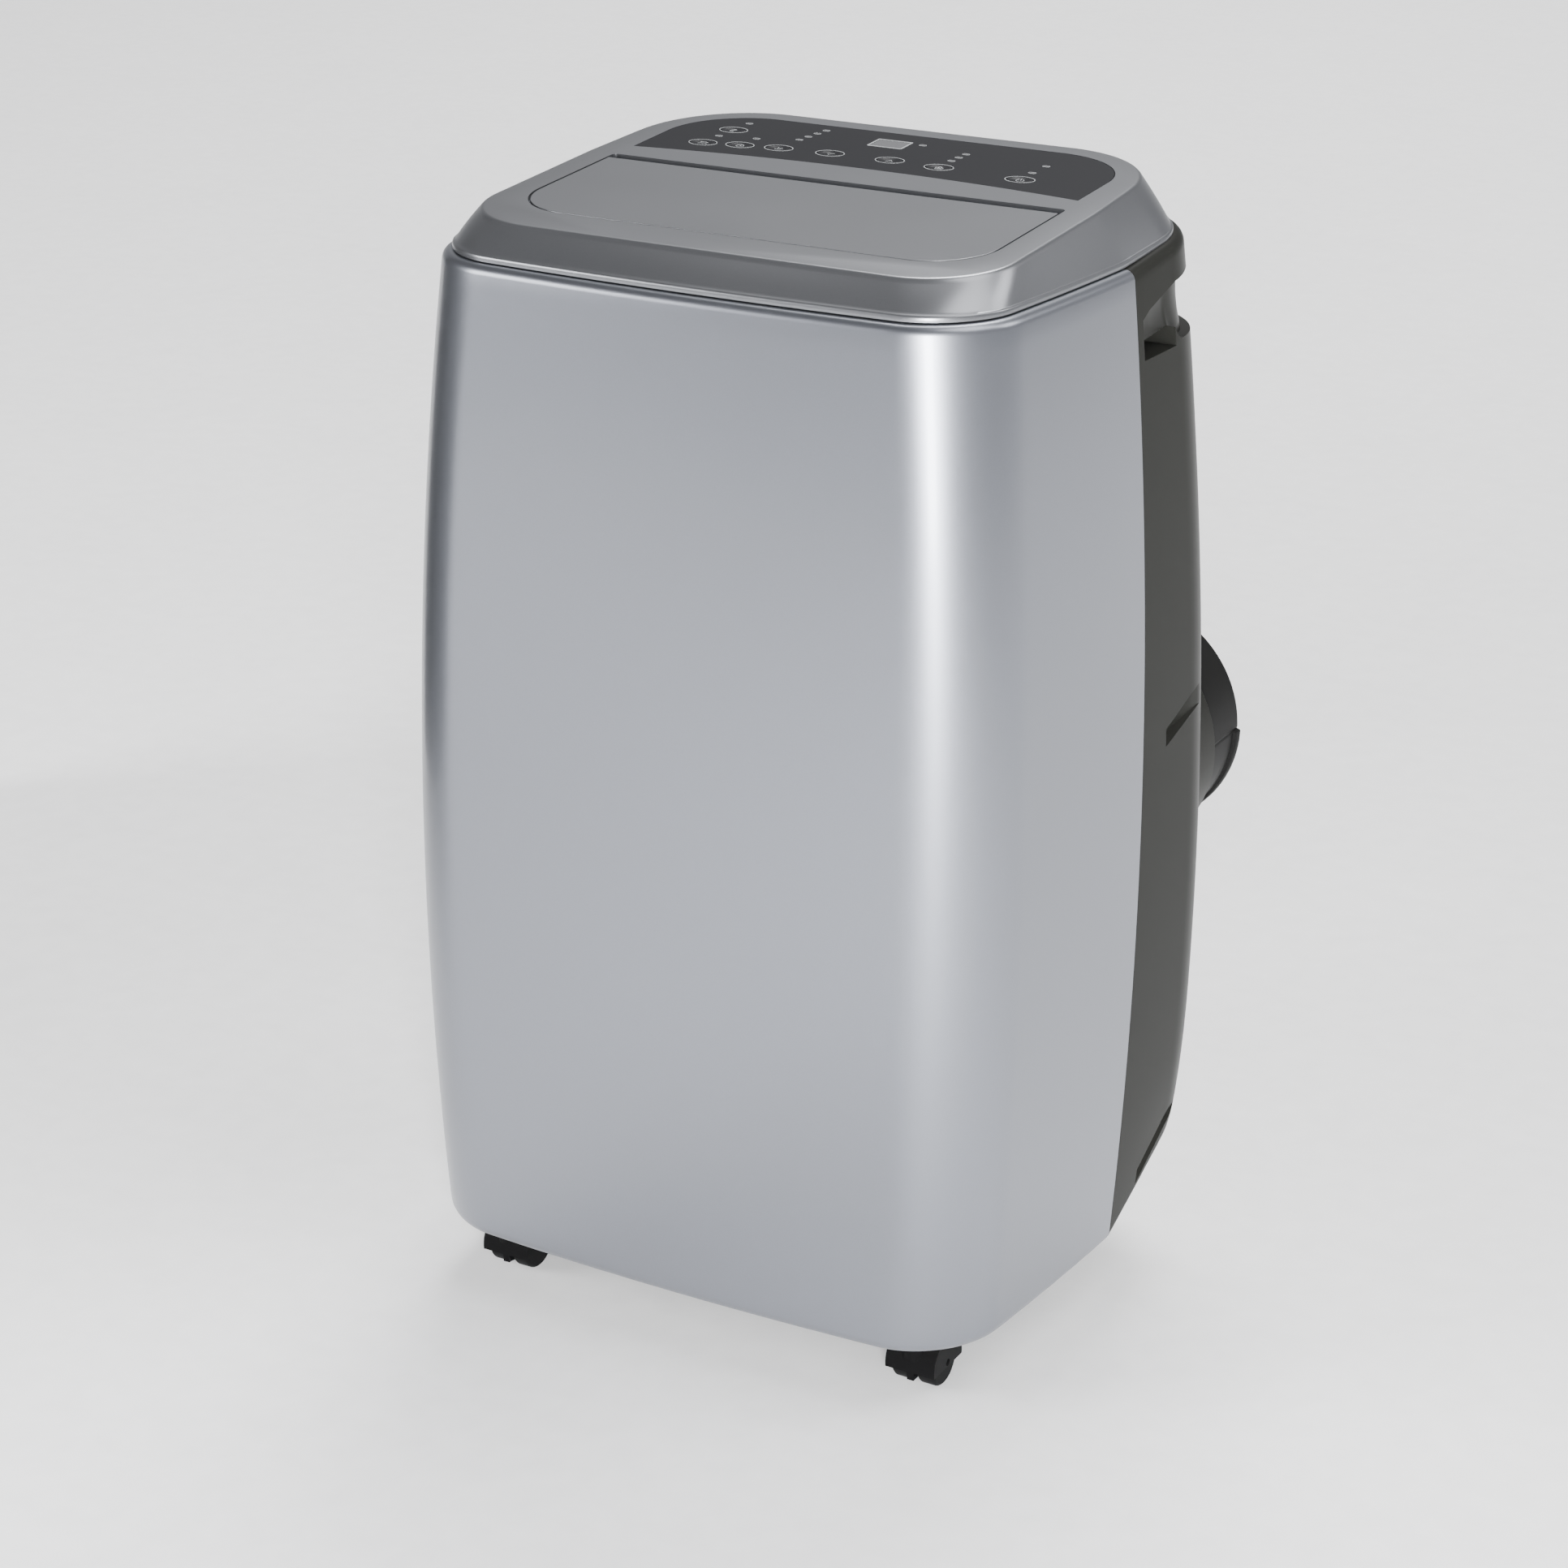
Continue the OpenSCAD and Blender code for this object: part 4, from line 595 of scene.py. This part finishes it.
# Top cover: satin grey moulding. Its lip stands just inside the shells, its sides lean in to a
# top that slopes to the front, and it is open for the outlet flap and recessed for the fascia.
TILT = math.radians(3.9)
TOP_REAR_Y, TOP_FRONT_Y, TOP_HALF_W = HALF_D - 23, -(HALF_D - 48), HALF_W - 51
TOP_MID_Z = 764 - math.tan(TILT) * TOP_REAR_Y
LIP_INSET = 6.2
FLAP_W, FLAP_L, FLAP_T, FLAP_R, FLAP_REAR_Y = 326.0, 124.0, 3.5, 42.0, 20.0
FLAP_GAP, GROOVE = 1.5, 9.0
FLAP_FRONT_Y = FLAP_REAR_Y - FLAP_L
FASCIA_W, FASCIA_FRONT_Y, FASCIA_CROWN, FASCIA_R = 324.0, 50.0, 12.0, 52.0
FASCIA_T = 1.6
TOP_FRONT_R, TOP_REAR_R, REAR_TAPER, REAR_TAPER_RUN = 55, 76, 3, 60


def on_top(x, y, z):
    """A point given in the sloping top plane."""
    return (x, y * math.cos(TILT) - z * math.sin(TILT),
            TOP_MID_Z + y * math.sin(TILT) + z * math.cos(TILT))


def cover_ring(inset, lift):
    half, front = half_width(SHOULDER_Z) - inset, front_line(SHOULDER_Z) + inset
    rear = rear_line(SHOULDER_Z) - inset
    right = (front_outline(half, front, FRONT_R - inset, SEAM_Y)
             + rear_outline(half, rear, REAR_R - inset, SEAM_Y)[1:])
    ring = [drawn_in(x, y, half, front) for x, y in right]
    ring = ring + mirrored(ring[1:-1])
    return [(x, y, SHOULDER_Z + RIM_CLIMB * max(0, y - SEAM_Y) + lift) for x, y in ring]


def plateau_ring(inset, drop):
    half = TOP_HALF_W - inset
    rear = rear_outline(half, TOP_REAR_Y - inset, TOP_REAR_R - inset, SEAM_Y)[1:]
    right = (front_outline(half, TOP_FRONT_Y + inset, TOP_FRONT_R - inset, SEAM_Y)
             + [(x - REAR_TAPER * min(1, (y - SEAM_Y) / REAR_TAPER_RUN) * x / half, y)
                for x, y in rear])
    ring = right + mirrored(right[1:-1])
    return [(x, y, TOP_MID_Z + math.tan(TILT) * y - drop) for x, y in ring]


def between(a, b, share, swell=0.0):
    """A ring part of the way between two rings, swollen a little outwards."""
    made = []
    for p, q in zip(a, b):
        size = math.hypot(p[0], p[1])
        out = swell * math.sin(math.pi * share)
        made.append((p[0] + (q[0] - p[0]) * share + out * p[0] / size,
                     p[1] + (q[1] - p[1]) * share + out * p[1] / size,
                     p[2] + (q[2] - p[2]) * share + out * 0.5))
    return made


def lofted(rings):
    """A closed solid through rings, flat at both ends."""
    width = len(rings[0])
    verts = [p for ring in rings for p in ring]
    faces = [(j * width + i, j * width + (i + 1) % width,
              (j + 1) * width + (i + 1) % width, (j + 1) * width + i)
             for j in range(len(rings) - 1) for i in range(width)]
    last = (len(rings) - 1) * width
    return verts, faces + [tuple(range(width - 1, -1, -1)), tuple(range(last, last + width))]


def prism(outline, low, high):
    return lofted([[on_top(x, y, z) for x, y in outline] for z in (low, high)])


def joined(solids):
    verts, faces = [], []
    for more, sides in solids:
        faces += [tuple(i + len(verts) for i in side) for side in sides]
        verts += more
    return verts, faces


def flap_line(gap, rear_y, rear_r=2.0):
    """Outline of the flap or its opening: round front corners, nearly square rear corners."""
    half, front = FLAP_W / 2 + gap, FLAP_FRONT_Y - gap
    right = (corner(half - FLAP_R - gap, front + FLAP_R + gap, FLAP_R + gap, -90, 0, 20)
             + corner(half - rear_r, rear_y - rear_r, rear_r, 0, 90, 4))
    return right + mirrored(right)


def fascia_line(gap):
    rear_y, half = TOP_REAR_Y - 15, FASCIA_W / 2
    front = []
    for i in range(-24, 25):
        x = i / 24 * (half + gap)
        front.append((x, FASCIA_FRONT_Y + FASCIA_CROWN * (1 - (2 * x * 0.99 / FASCIA_W) ** 2) - gap))
    wide = FASCIA_R + 4
    right = [(half - wide + (wide + gap) * math.cos(math.radians(a)),
              rear_y - FASCIA_R + (FASCIA_R + gap) * math.sin(math.radians(a))) for a in range(0, 91, 5)]
    return front + right + mirrored(right)


def oval(x, y, length, width, count=48):
    return [(x + length / 2 * math.cos(2 * math.pi * i / count),
             y + width / 2 * math.sin(2 * math.pi * i / count)) for i in range(count)]


BUTTONS = {"power": (108, 79), "speed": (47.5, 84), "up": (10.5, 86.5), "down": (-33.5, 86),
           "mode": (-71, 84), "timer": (-98.5, 80.5), "swing": (-124.5, 76.5), "sleep": (-121.5, 112)}
BUTTON_L, BUTTON_B = 18.0, 11.4
satin_grey = finish_of("satin_grey_plastic", (0.190, 0.195, 0.208), 0.30, scale=1300, bump=0.3,
                       depth=0.03 * MM, metallic=0.85, coat=0.1, drift=0.03, dust=0.02)
lip, brow = cover_ring(LIP_INSET + 1.8, 5.0), plateau_ring(-1.5, 1.9)
outer = [cover_ring(LIP_INSET + d, z)
         for d, z in ((0.5, 0.6), (0.1, 0.9), (0, 1.6), (0, 3.0), (0.3, 4.1), (0.9, 4.7))] + [lip]
outer += [between(lip, brow, i / 12, 0.4) for i in range(1, 12)] + [brow]
outer += [plateau_ring(d, z) for d, z in ((-0.9, 1.25), (-0.4, 0.8), (0.2, 0.4), (0.9, 0.12), (1.7, 0.0))]
top_cover = piece_from("top_cover_moulding", *lofted(outer), satin_grey, 30)
outward(top_cover)
hollow_inside = [cover_ring(LIP_INSET + WALL + 0.3, -1), cover_ring(LIP_INSET + WALL + 2, 3.4),
                 plateau_ring(WALL, 5), plateau_ring(WALL + 3, 3)]
inside_cutter = cutter("inside", *lofted(hollow_inside))
openings_cutter = cutter("openings", *joined([
    prism(flap_line(FLAP_GAP, FLAP_REAR_Y + GROOVE, 3.5), -30, 10),
    prism(fascia_line(0.3), -FASCIA_T - 0.2, 10)]))
holes_cutter = cutter("button_holes", *joined([
    prism(oval(x, y, BUTTON_L + 0.8, BUTTON_B + 0.8), -12, -0.5) for x, y in BUTTONS.values()]))
cut_away(top_cover, [inside_cutter, openings_cutter, holes_cutter])
rounded(top_cover, 30)
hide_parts("top_cover")
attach(top_cover, "cabinet")


# Outlet flap: flat plate of the cover's own plastic with two arms that carry its hinge pins.
def softened(name, node, material, width, body, sharp=35, segments=2, plain=False):
    """A CAD node's own shape with its edges broken, as a piece that stands for the node.

    Only a plain shape, without holes in its flat faces, has its triangles joined first."""
    mesh = nodes[node].data.copy()
    made = bpy.data.objects.new(name, mesh)
    bpy.context.scene.collection.objects.link(made)
    work = bmesh.new()
    work.from_mesh(mesh)
    bmesh.ops.remove_doubles(work, verts=work.verts, dist=0.01 * MM)
    if plain:
        bmesh.ops.dissolve_limit(work, angle_limit=math.radians(1.0), verts=work.verts,
                                 edges=work.edges)
    work.to_mesh(mesh)
    work.free()
    mesh.materials.clear()
    mesh.materials.append(material)
    if width:
        bevel = made.modifiers.new("broken_edge", "BEVEL")
        bevel.width = width * MM
        bevel.segments = segments
        bevel.limit_method = "ANGLE"
        bevel.angle_limit = math.radians(sharp)
        bevel.use_clamp_overlap = True
        bevel.miter_outer = "MITER_ARC"
        settle(made)
    rounded(made, sharp + 5)
    if width:
        made.modifiers.new("even_shading", "WEIGHTED_NORMAL").keep_sharp = True
        settle(made)
    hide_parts(node)
    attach(made, body)
    return made


softened("outlet_flap_plate", "outlet_flap", satin_grey, 0.4, "flap",
         segments=3, plain=True)

# Outlet frame: dark blue-grey moulding under the flap, with the throat and the hinge trough.
frame_plastic = finish_of("frame_plastic", (0.035, 0.043, 0.058), 0.42, scale=700, bump=0.2, dust=0.08)
softened("outlet_frame_moulding", "outlet_frame", frame_plastic, 0.25, "cabinet")
vane_plastic = finish_of("vane_plastic", (0.028, 0.029, 0.031), 0.4, scale=800, bump=0.2, dust=0.1)
for i in range(1, 7):
    softened(f"vane_blade_{i}", f"vane_{i}", vane_plastic, 0.3, f"vane_{i}",
             plain=True)
softened("vane_link_bar", "vane_link", vane_plastic, 0.3, "vane_link")

# Control fascia: charcoal inlay sheet, printed in pale grey on its face, with lamps and display.
fascia_black = finish_of("fascia_black", (0.0125, 0.0127, 0.0150), 0.36, scale=1600, bump=0.12,
                         drift=0.05, dust=0.01, specular=0.06)
softened("control_fascia_sheet", "control_fascia", fascia_black, 0.2, "cabinet")
print_grey = finish_of("print_grey", (0.30, 0.31, 0.32), 0.5, scale=2500, bump=0.05, drift=0.15, dust=0)
smoked_window = finish_of("smoked_window", (0.125, 0.127, 0.135), 0.16, scale=300, bump=0.02, coat=0.6)
softened("display_pane", "display_window", smoked_window, 0.15, "cabinet")
lamp_diffuser = finish_of("lamp_diffuser", (0.10, 0.10, 0.105), 0.3, scale=2000, bump=0.1, coat=0.4)
softened("lamp_lenses", "indicator_lights", lamp_diffuser, 0.1, "cabinet")

PRINT_T = 0.06
STROKE = 0.55


def stroke(points, width=STROKE, closed=False, height=lambda x, y: 0.0):
    """A printed line of even width along points."""
    count = len(points)
    left, right = [], []
    for i in range(count):
        before = points[i - 1] if i or closed else points[i]
        after = points[(i + 1) % count] if i < count - 1 or closed else points[i]
        dx, dy = after[0] - before[0], after[1] - before[1]
        size = math.hypot(dx, dy) or 1.0
        nx, ny = -dy / size * width / 2, dx / size * width / 2
        left.append((points[i][0] + nx, points[i][1] + ny))
        right.append((points[i][0] - nx, points[i][1] - ny))
    verts, faces = [], []
    for i in range(count):
        for (x, y), lift in ((left[i], PRINT_T), (right[i], PRINT_T), (right[i], 0), (left[i], 0)):
            verts.append(on_top(x, y, height(x, y) + lift))
    for i in range(count if closed else count - 1):
        k = (i + 1) % count
        for a, b in ((0, 1), (1, 2), (2, 3), (3, 0)):
            faces.append((4 * i + a, 4 * i + b, 4 * k + b, 4 * k + a))
    if not closed:
        faces += [(0, 3, 2, 1), (4 * count - 4, 4 * count - 3, 4 * count - 2, 4 * count - 1)]
    return verts, faces


LAMPS = ([(-68.5 + 1.8 * i, 107.5 + 9.2 * i) for i in range(4)]
         + [(48 + 0.8 * i, 101 + 9 * i) for i in range(3)]
         + [(-120, 130.5), (-123, 95), (-96, 98.5), (13.5, 127.5), (108.5, 96), (110, 113.5)])
DISPLAY = (-8, 122)


def rounded_box(x, y, length, width, radius, steps=5):
    line = []
    for sx, sy, a in ((1, -1, -90), (1, 1, 0), (-1, 1, 90), (-1, -1, 180)):
        line += corner(x + sx * (length / 2 - radius), y + sy * (width / 2 - radius), radius,
                       a, a + 90, steps)
    return line


prints = [stroke(oval(x, y, BUTTON_L + 2.2, BUTTON_B + 2.2), STROKE, True) for x, y in BUTTONS.values()]
prints += [stroke(rounded_box(x, y, 4.9, 2.7, 1.3), 0.45, True) for x, y in LAMPS]
prints.append(stroke(rounded_box(*DISPLAY, 24.6, 16.6, 0.6), 1.3, True))
fascia_print = piece_from("fascia_print", *joined(prints), print_grey, 60)
outward(fascia_print)
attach(fascia_print, "cabinet")


# Push buttons: dished oval caps with a printed sign, each on a stem over its switch.
def dish(x, y, cx, cy):
    r = min(1.0, math.hypot((x - cx) / (BUTTON_L / 2), (y - cy) / (BUTTON_B / 2)) / 0.86)
    return -0.8 * (1 - r * r)


def polar(radius, angle):
    return radius * math.cos(math.radians(angle)), radius * math.sin(math.radians(angle))


def sign_strokes(name, cx, cy):
    """The sign printed on a button, drawn with plain strokes."""
    def line(points, closed=False):
        return stroke([(cx + a, cy + b) for a, b in points], 0.5, closed,
                      lambda x, y: dish(x, y, cx, cy) + 0.02)

    if name == "power":
        return [line(corner(0, 0, 2.6, 125, 415, 14)), line([(0, 0.4), (0, 1.6), (0, 3.2)])]
    if name == "speed":
        return [line(corner(*polar(1.75, a), 1.1, 0, 330, 10), True) for a in (18, 90, 162, 234, 306)]
    if name == "up":
        return [line([(-2.6, -1.6), (2.6, -1.6), (0, 2.2)], True)]
    if name == "down":
        return [line([(-2.6, 1.6), (0, -2.2), (2.6, 1.6)], True)]
    if name == "mode":
        return [line(corner(0, 0, 1.3, 0, 345, 12), True)] + [
            line([polar(2.1, a), polar(3.1, a)]) for a in range(0, 360, 60)]
    if name == "timer":
        return [line(corner(0, 0, 2.6, 0, 345, 20), True), line([(0, 1.8), (0, 0), (1.3, 0)])]
    if name == "swing":
        return [line([(-3.4, -1.6), (-1.7, 0.4), (0, -0.4), (1.7, 0.4), (3.4, -1.6)]),
                line([(-3.0, 1.8), (0, 2.6), (3.0, 1.8)])]
    return [line(corner(0, 0, 2.5, 60, 300, 16)), line(corner(1.5, 0, 2.4, 115, 245, 12))]


def button_rings(cx, cy):
    rings = []
    for share, z in ((1.0, -FASCIA_T - 0.1), (1.0, -0.35), (0.985, -0.1), (0.95, 0.0), (0.90, 0.0)):
        rings.append([on_top(x, y, z) for x, y in oval(cx, cy, BUTTON_L * share, BUTTON_B * share, 64)])
    for share in (0.86, 0.78, 0.66, 0.5, 0.34, 0.16, 0.04):
        rings.append([on_top(x, y, dish(x, y, cx, cy))
                      for x, y in oval(cx, cy, BUTTON_L * share, BUTTON_B * share, 64)])
    return rings


for name, (cx, cy) in BUTTONS.items():
    stem = [[on_top(x, y, z) for x, y in oval(cx, cy, 5.2, 5.2, 24)] for z in (-13.7, -1.7)]
    cap = piece_from(f"button_{name}_cap", *joined([lofted(button_rings(cx, cy)), lofted(stem)]),
                     fascia_black, 40)
    outward(cap)
    rounded(cap, 40)
    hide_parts(f"button_{name}")
    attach(cap, f"button_{name}")
    sign = piece_from(f"button_{name}_sign", *joined(sign_strokes(name, cx, cy)), print_grey, 60)
    outward(sign)
    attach(sign, f"button_{name}")

# Castors: black nylon forks that swivel under the base pan, each with a twin wheel.
castor_black = finish_of("castor_black", (0.004, 0.004, 0.0042), 0.4, scale=900, bump=0.25, dust=0.03,
                         specular=0.04)
wheel_black = finish_of("wheel_black", (0.006, 0.006, 0.0062), 0.5, scale=500, bump=0.3, dust=0.06,
                        specular=0.04)
for place in ("fl", "fr", "rl", "rr"):
    softened(f"castor_{place}_fork", f"castor_fork_{place}", castor_black, 0.6, f"fork_{place}")
    softened(f"castor_{place}_wheels", f"castor_wheel_{place}", wheel_black, 0.7, f"wheel_{place}",
             plain=True)

# Base pan: black moulding inside the foot of the shells; the castor stems run in its sockets.
pan_black = finish_of("pan_black", (0.018, 0.018, 0.019), 0.5, scale=600, bump=0.3, dust=0.15)
softened("base_pan_moulding", "base_pan", pan_black, 0, "cabinet")

# Exhaust adapter: a two-part collar whose spigot locks in the socket; the hose pushes over it.
# The lower half carries a small lip at its end, and a seam runs along each side.
adapter_low, adapter_high = (spot("exhaust_adapter", 0), spot("exhaust_adapter", 1))
collar_r, spigot_r, collar_wall = (adapter_high[0] - adapter_low[0]) / 2, 76.0, 2.4
socket_end = spot("exhaust_socket", 1)[1]
end_y = adapter_high[1]


def collar_profile(angle):
    """(distance back, radius) round the wall of the collar at an angle; 0 is the +X side."""
    below = math.sin(math.radians(angle)) < -0.004
    seam = 0.5 if abs(math.sin(math.radians(angle))) < 0.012 else 0.0
    lip = 2.4 if below else 0.0
    radius = collar_r - seam
    return [(adapter_low[1], spigot_r), (socket_end + 0.4, spigot_r), (socket_end + 0.4, radius - 0.8),
            (socket_end + 1.2, radius), (end_y - 9, radius), (end_y - 8, radius + lip * 0.7),
            (end_y - 6.5, radius + lip), (end_y - 1.2, radius + lip), (end_y, radius + lip - 1.0),
            (end_y, collar_r - collar_wall + 0.5),
            (end_y - 1, collar_r - collar_wall), (socket_end + 3, collar_r - collar_wall),
            (socket_end + 3, spigot_r - collar_wall), (adapter_low[1], spigot_r - collar_wall)]


angles = sorted({a * 3.0 for a in range(120)} | {0.9, 359.1, 179.1, 180.9, 1.6, 358.4, 178.4, 181.6})
collar_rows = [[(exhaust[0] + r * math.cos(math.radians(a)), y,
                 exhaust[2] + r * math.sin(math.radians(a))) for y, r in collar_profile(a)]
               for a in angles]
width, count = len(collar_rows[0]), len(collar_rows)
collar_faces = [(j * width + i, j * width + (i + 1) % width,
                 ((j + 1) % count) * width + (i + 1) % width, ((j + 1) % count) * width + i)
                for j in range(count) for i in range(width)]
collar_plastic = finish_of("collar_plastic", (0.009, 0.009, 0.0088), 0.42, scale=1000, bump=0.3,
                           drift=0.1, dust=0.02, specular=0.03)
hose_collar = piece_from("exhaust_adapter_collar", [p for row in collar_rows for p in row],
                         collar_faces, collar_plastic, 30)
outward(hose_collar)
rounded(hose_collar, 30)
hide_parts("exhaust_adapter")
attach(hose_collar, "adapter")
softened("exhaust_socket_ring", "exhaust_socket", charcoal_plastic, 0.5, "cabinet")


# Rear grilles: framed panels with sloping slats, clipped in the two windows with their filters.
def input_of(tree, name):
    return [i for i in tree.interface.items_tree
            if i.item_type == "SOCKET" and i.name == name][0].identifier


def row_tree(name):
    """Geometry Nodes: a row of equal bars, as slats or fins. Sizes are named inputs, in metres."""
    tree = bpy.data.node_groups.new(name, "GeometryNodeTree")
    tree.interface.new_socket(name="Geometry", in_out="INPUT", socket_type="NodeSocketGeometry")
    for label, kind in (("Count", "NodeSocketInt"), ("Step", "NodeSocketVector"),
                        ("Bar Size", "NodeSocketVector"), ("Lean", "NodeSocketVector"),
                        ("Finish", "NodeSocketMaterial")):
        tree.interface.new_socket(name=label, in_out="INPUT", socket_type=kind)
    tree.interface.new_socket(name="Geometry", in_out="OUTPUT", socket_type="NodeSocketGeometry")
    ends = tree.nodes.new("NodeGroupInput"), tree.nodes.new("NodeGroupOutput")
    line = tree.nodes.new("GeometryNodeMeshLine")
    bar = tree.nodes.new("GeometryNodeMeshCube")
    copies = tree.nodes.new("GeometryNodeInstanceOnPoints")
    real = tree.nodes.new("GeometryNodeRealizeInstances")
    painted = tree.nodes.new("GeometryNodeSetMaterial")
    link = tree.links.new
    link(ends[0].outputs["Count"], line.inputs["Count"])
    link(ends[0].outputs["Step"], line.inputs["Offset"])
    link(ends[0].outputs["Bar Size"], bar.inputs["Size"])
    link(line.outputs[0], copies.inputs["Points"])
    link(bar.outputs["Mesh"], copies.inputs["Instance"])
    link(ends[0].outputs["Lean"], copies.inputs["Rotation"])
    link(copies.outputs[0], real.inputs[0])
    link(real.outputs[0], painted.inputs["Geometry"])
    link(ends[0].outputs["Finish"], painted.inputs["Material"])
    link(painted.outputs[0], ends[1].inputs[0])
    return tree


bar_row = row_tree("row_of_bars")


def bars(name, count, step, size, lean, material):
    """A plain mesh of a row of bars, its first bar's middle at the origin (metres)."""
    host = bpy.data.objects.new(name, bpy.data.meshes.new(name))
    bpy.context.scene.collection.objects.link(host)
    row = host.modifiers.new("row", "NODES")
    row.node_group = bar_row
    for label, value in (("Count", count), ("Step", step), ("Bar Size", size), ("Lean", lean),
                         ("Finish", material)):
        row[input_of(bar_row, label)] = value
    graph = bpy.context.evaluated_depsgraph_get()
    made = bpy.data.meshes.new_from_object(host.evaluated_get(graph))
    bpy.data.objects.remove(host)
    return made


def merged(piece, mesh):
    """Adds a plain mesh to a piece."""
    work = bmesh.new()
    work.from_mesh(piece.data)
    work.from_mesh(mesh)
    work.to_mesh(piece.data)
    work.free()


for name in ("upper", "lower"):
    softened(f"{name}_grille_panel", f"{name}_grille", charcoal_plastic, 0.35, f"{name}_intake")

# Filters: woven nylon mesh held in a thin frame, clipped to the inner side of each grille.
filter_mesh = finish_of("filter_mesh", (0.10, 0.108, 0.115), 0.8, scale=2200, bump=0.9, depth=0.25 * MM,
                        drift=0.2, dust=0.3)
for name in ("upper", "lower"):
    softened(f"{name}_filter_frame", f"{name}_filter", filter_mesh, 0.2, f"{name}_intake")

# Drain caps and cord gland: soft black rubber.
black_rubber = finish_of("black_rubber", (0.014, 0.014, 0.014), 0.65, scale=700, bump=0.4, dust=0.15)
softened("upper_drain_plug", "drain_cap_upper", black_rubber, 0.8, "drain_cap_upper")
softened("lower_drain_plug", "drain_cap_lower", black_rubber, 0.8, "drain_cap_lower")
softened("cord_gland_ring", "cord_gland", black_rubber, 0.5, "cabinet")
screw_steel = finish_of("screw_steel", (0.45, 0.45, 0.46), 0.3, scale=900, bump=0.15, metallic=1.0)
softened("case_screw_set", "case_screws", screw_steel, 0.15, "cabinet")

# Cooling circuit: painted steel compressor on rubber feet, finned coils and copper pipes.
black_steel = finish_of("black_steel", (0.02, 0.02, 0.021), 0.3, scale=150, bump=0.15, coat=0.3,
                        dust=0.2)
softened("compressor_shell", "compressor", black_steel, 1.0, "cabinet")
softened("compressor_feet", "compressor_mounts", black_rubber, 0.5, "cabinet")
fin_aluminium = finish_of("fin_aluminium", (0.62, 0.63, 0.64), 0.35, scale=200, bump=0.1,
                          metallic=1.0, dust=0.25)
FIN_PITCH, COIL_END = 0.003, 0.017
for name in ("condenser_coil", "evaporator_coil"):
    low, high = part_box(name)
    coil = softened(f"{name}_block", name, fin_aluminium, 0, "cabinet")
    fin_z = high.z - low.z - 0.004
    fins = bars(f"{name}_fins", int((high.x - low.x - 2 * COIL_END) / FIN_PITCH), (FIN_PITCH, 0, 0),
                (0.0004, 0.0012, fin_z), (0, 0, 0), fin_aluminium)
    fins.transform(Matrix.Translation((low.x + COIL_END, high.y - 0.0018, (low.z + high.z) / 2)))
    merged(coil, fins)
copper_pipe = finish_of("copper_pipe", (0.70, 0.32, 0.18), 0.32, scale=120, bump=0.1, metallic=1.0,
                        drift=0.25, dust=0.1)
softened("copper_pipe_run", "refrigerant_pipes", copper_pipe, 0, "cabinet")

# Air paths: black scrolls, drum fans on steel motors, and the tray between the two circuits.
duct_black = finish_of("duct_black", (0.022, 0.022, 0.023), 0.5, scale=500, bump=0.3, dust=0.2)
motor_metal = finish_of("motor_metal", (0.40, 0.41, 0.42), 0.38, scale=300, bump=0.15, metallic=0.9,
                        dust=0.15)
for node, finish, width, body, slot_name in (
        ("lower_scroll", duct_black, 0.5, "cabinet", "inner_black_plastic"),
        ("upper_scroll", duct_black, 0.5, "cabinet", "inner_black_plastic"),
        ("middle_tray", duct_black, 0, "cabinet", "inner_black_plastic"),
        ("lower_fan", vane_plastic, 0, "lower_fan", "inner_black_plastic"),
        ("upper_fan", vane_plastic, 0, "upper_fan", "inner_black_plastic"),
        ("lower_motor", motor_metal, 0.6, "cabinet", "motor_metal"),
        ("upper_motor", motor_metal, 0.6, "cabinet", "motor_metal"),
        ("flap_motor", motor_metal, 0.4, "cabinet", "motor_metal")):
    softened(f"{node}_unit", node, finish, width, body)

# Electrics and water float: plated box, capacitor can, lacquered board and a foam float.
softened("electrical_box_case", "electrical_box", motor_metal, 1.0, "cabinet")
softened("run_capacitor_can", "run_capacitor", fin_aluminium, 0.8, "cabinet")
circuit_board = finish_of("circuit_board", (0.02, 0.09, 0.04), 0.35, scale=90, bump=0.3, coat=0.4,
                          drift=0.3)
softened("control_board_panel", "control_board", circuit_board, 0, "cabinet")
float_foam = finish_of("float_foam", (0.62, 0.60, 0.55), 0.8, scale=260, bump=0.6, depth=0.2 * MM,
                       dust=0.1)
softened("water_float_ring", "water_float", float_foam, 0.8, "float")

low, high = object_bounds()
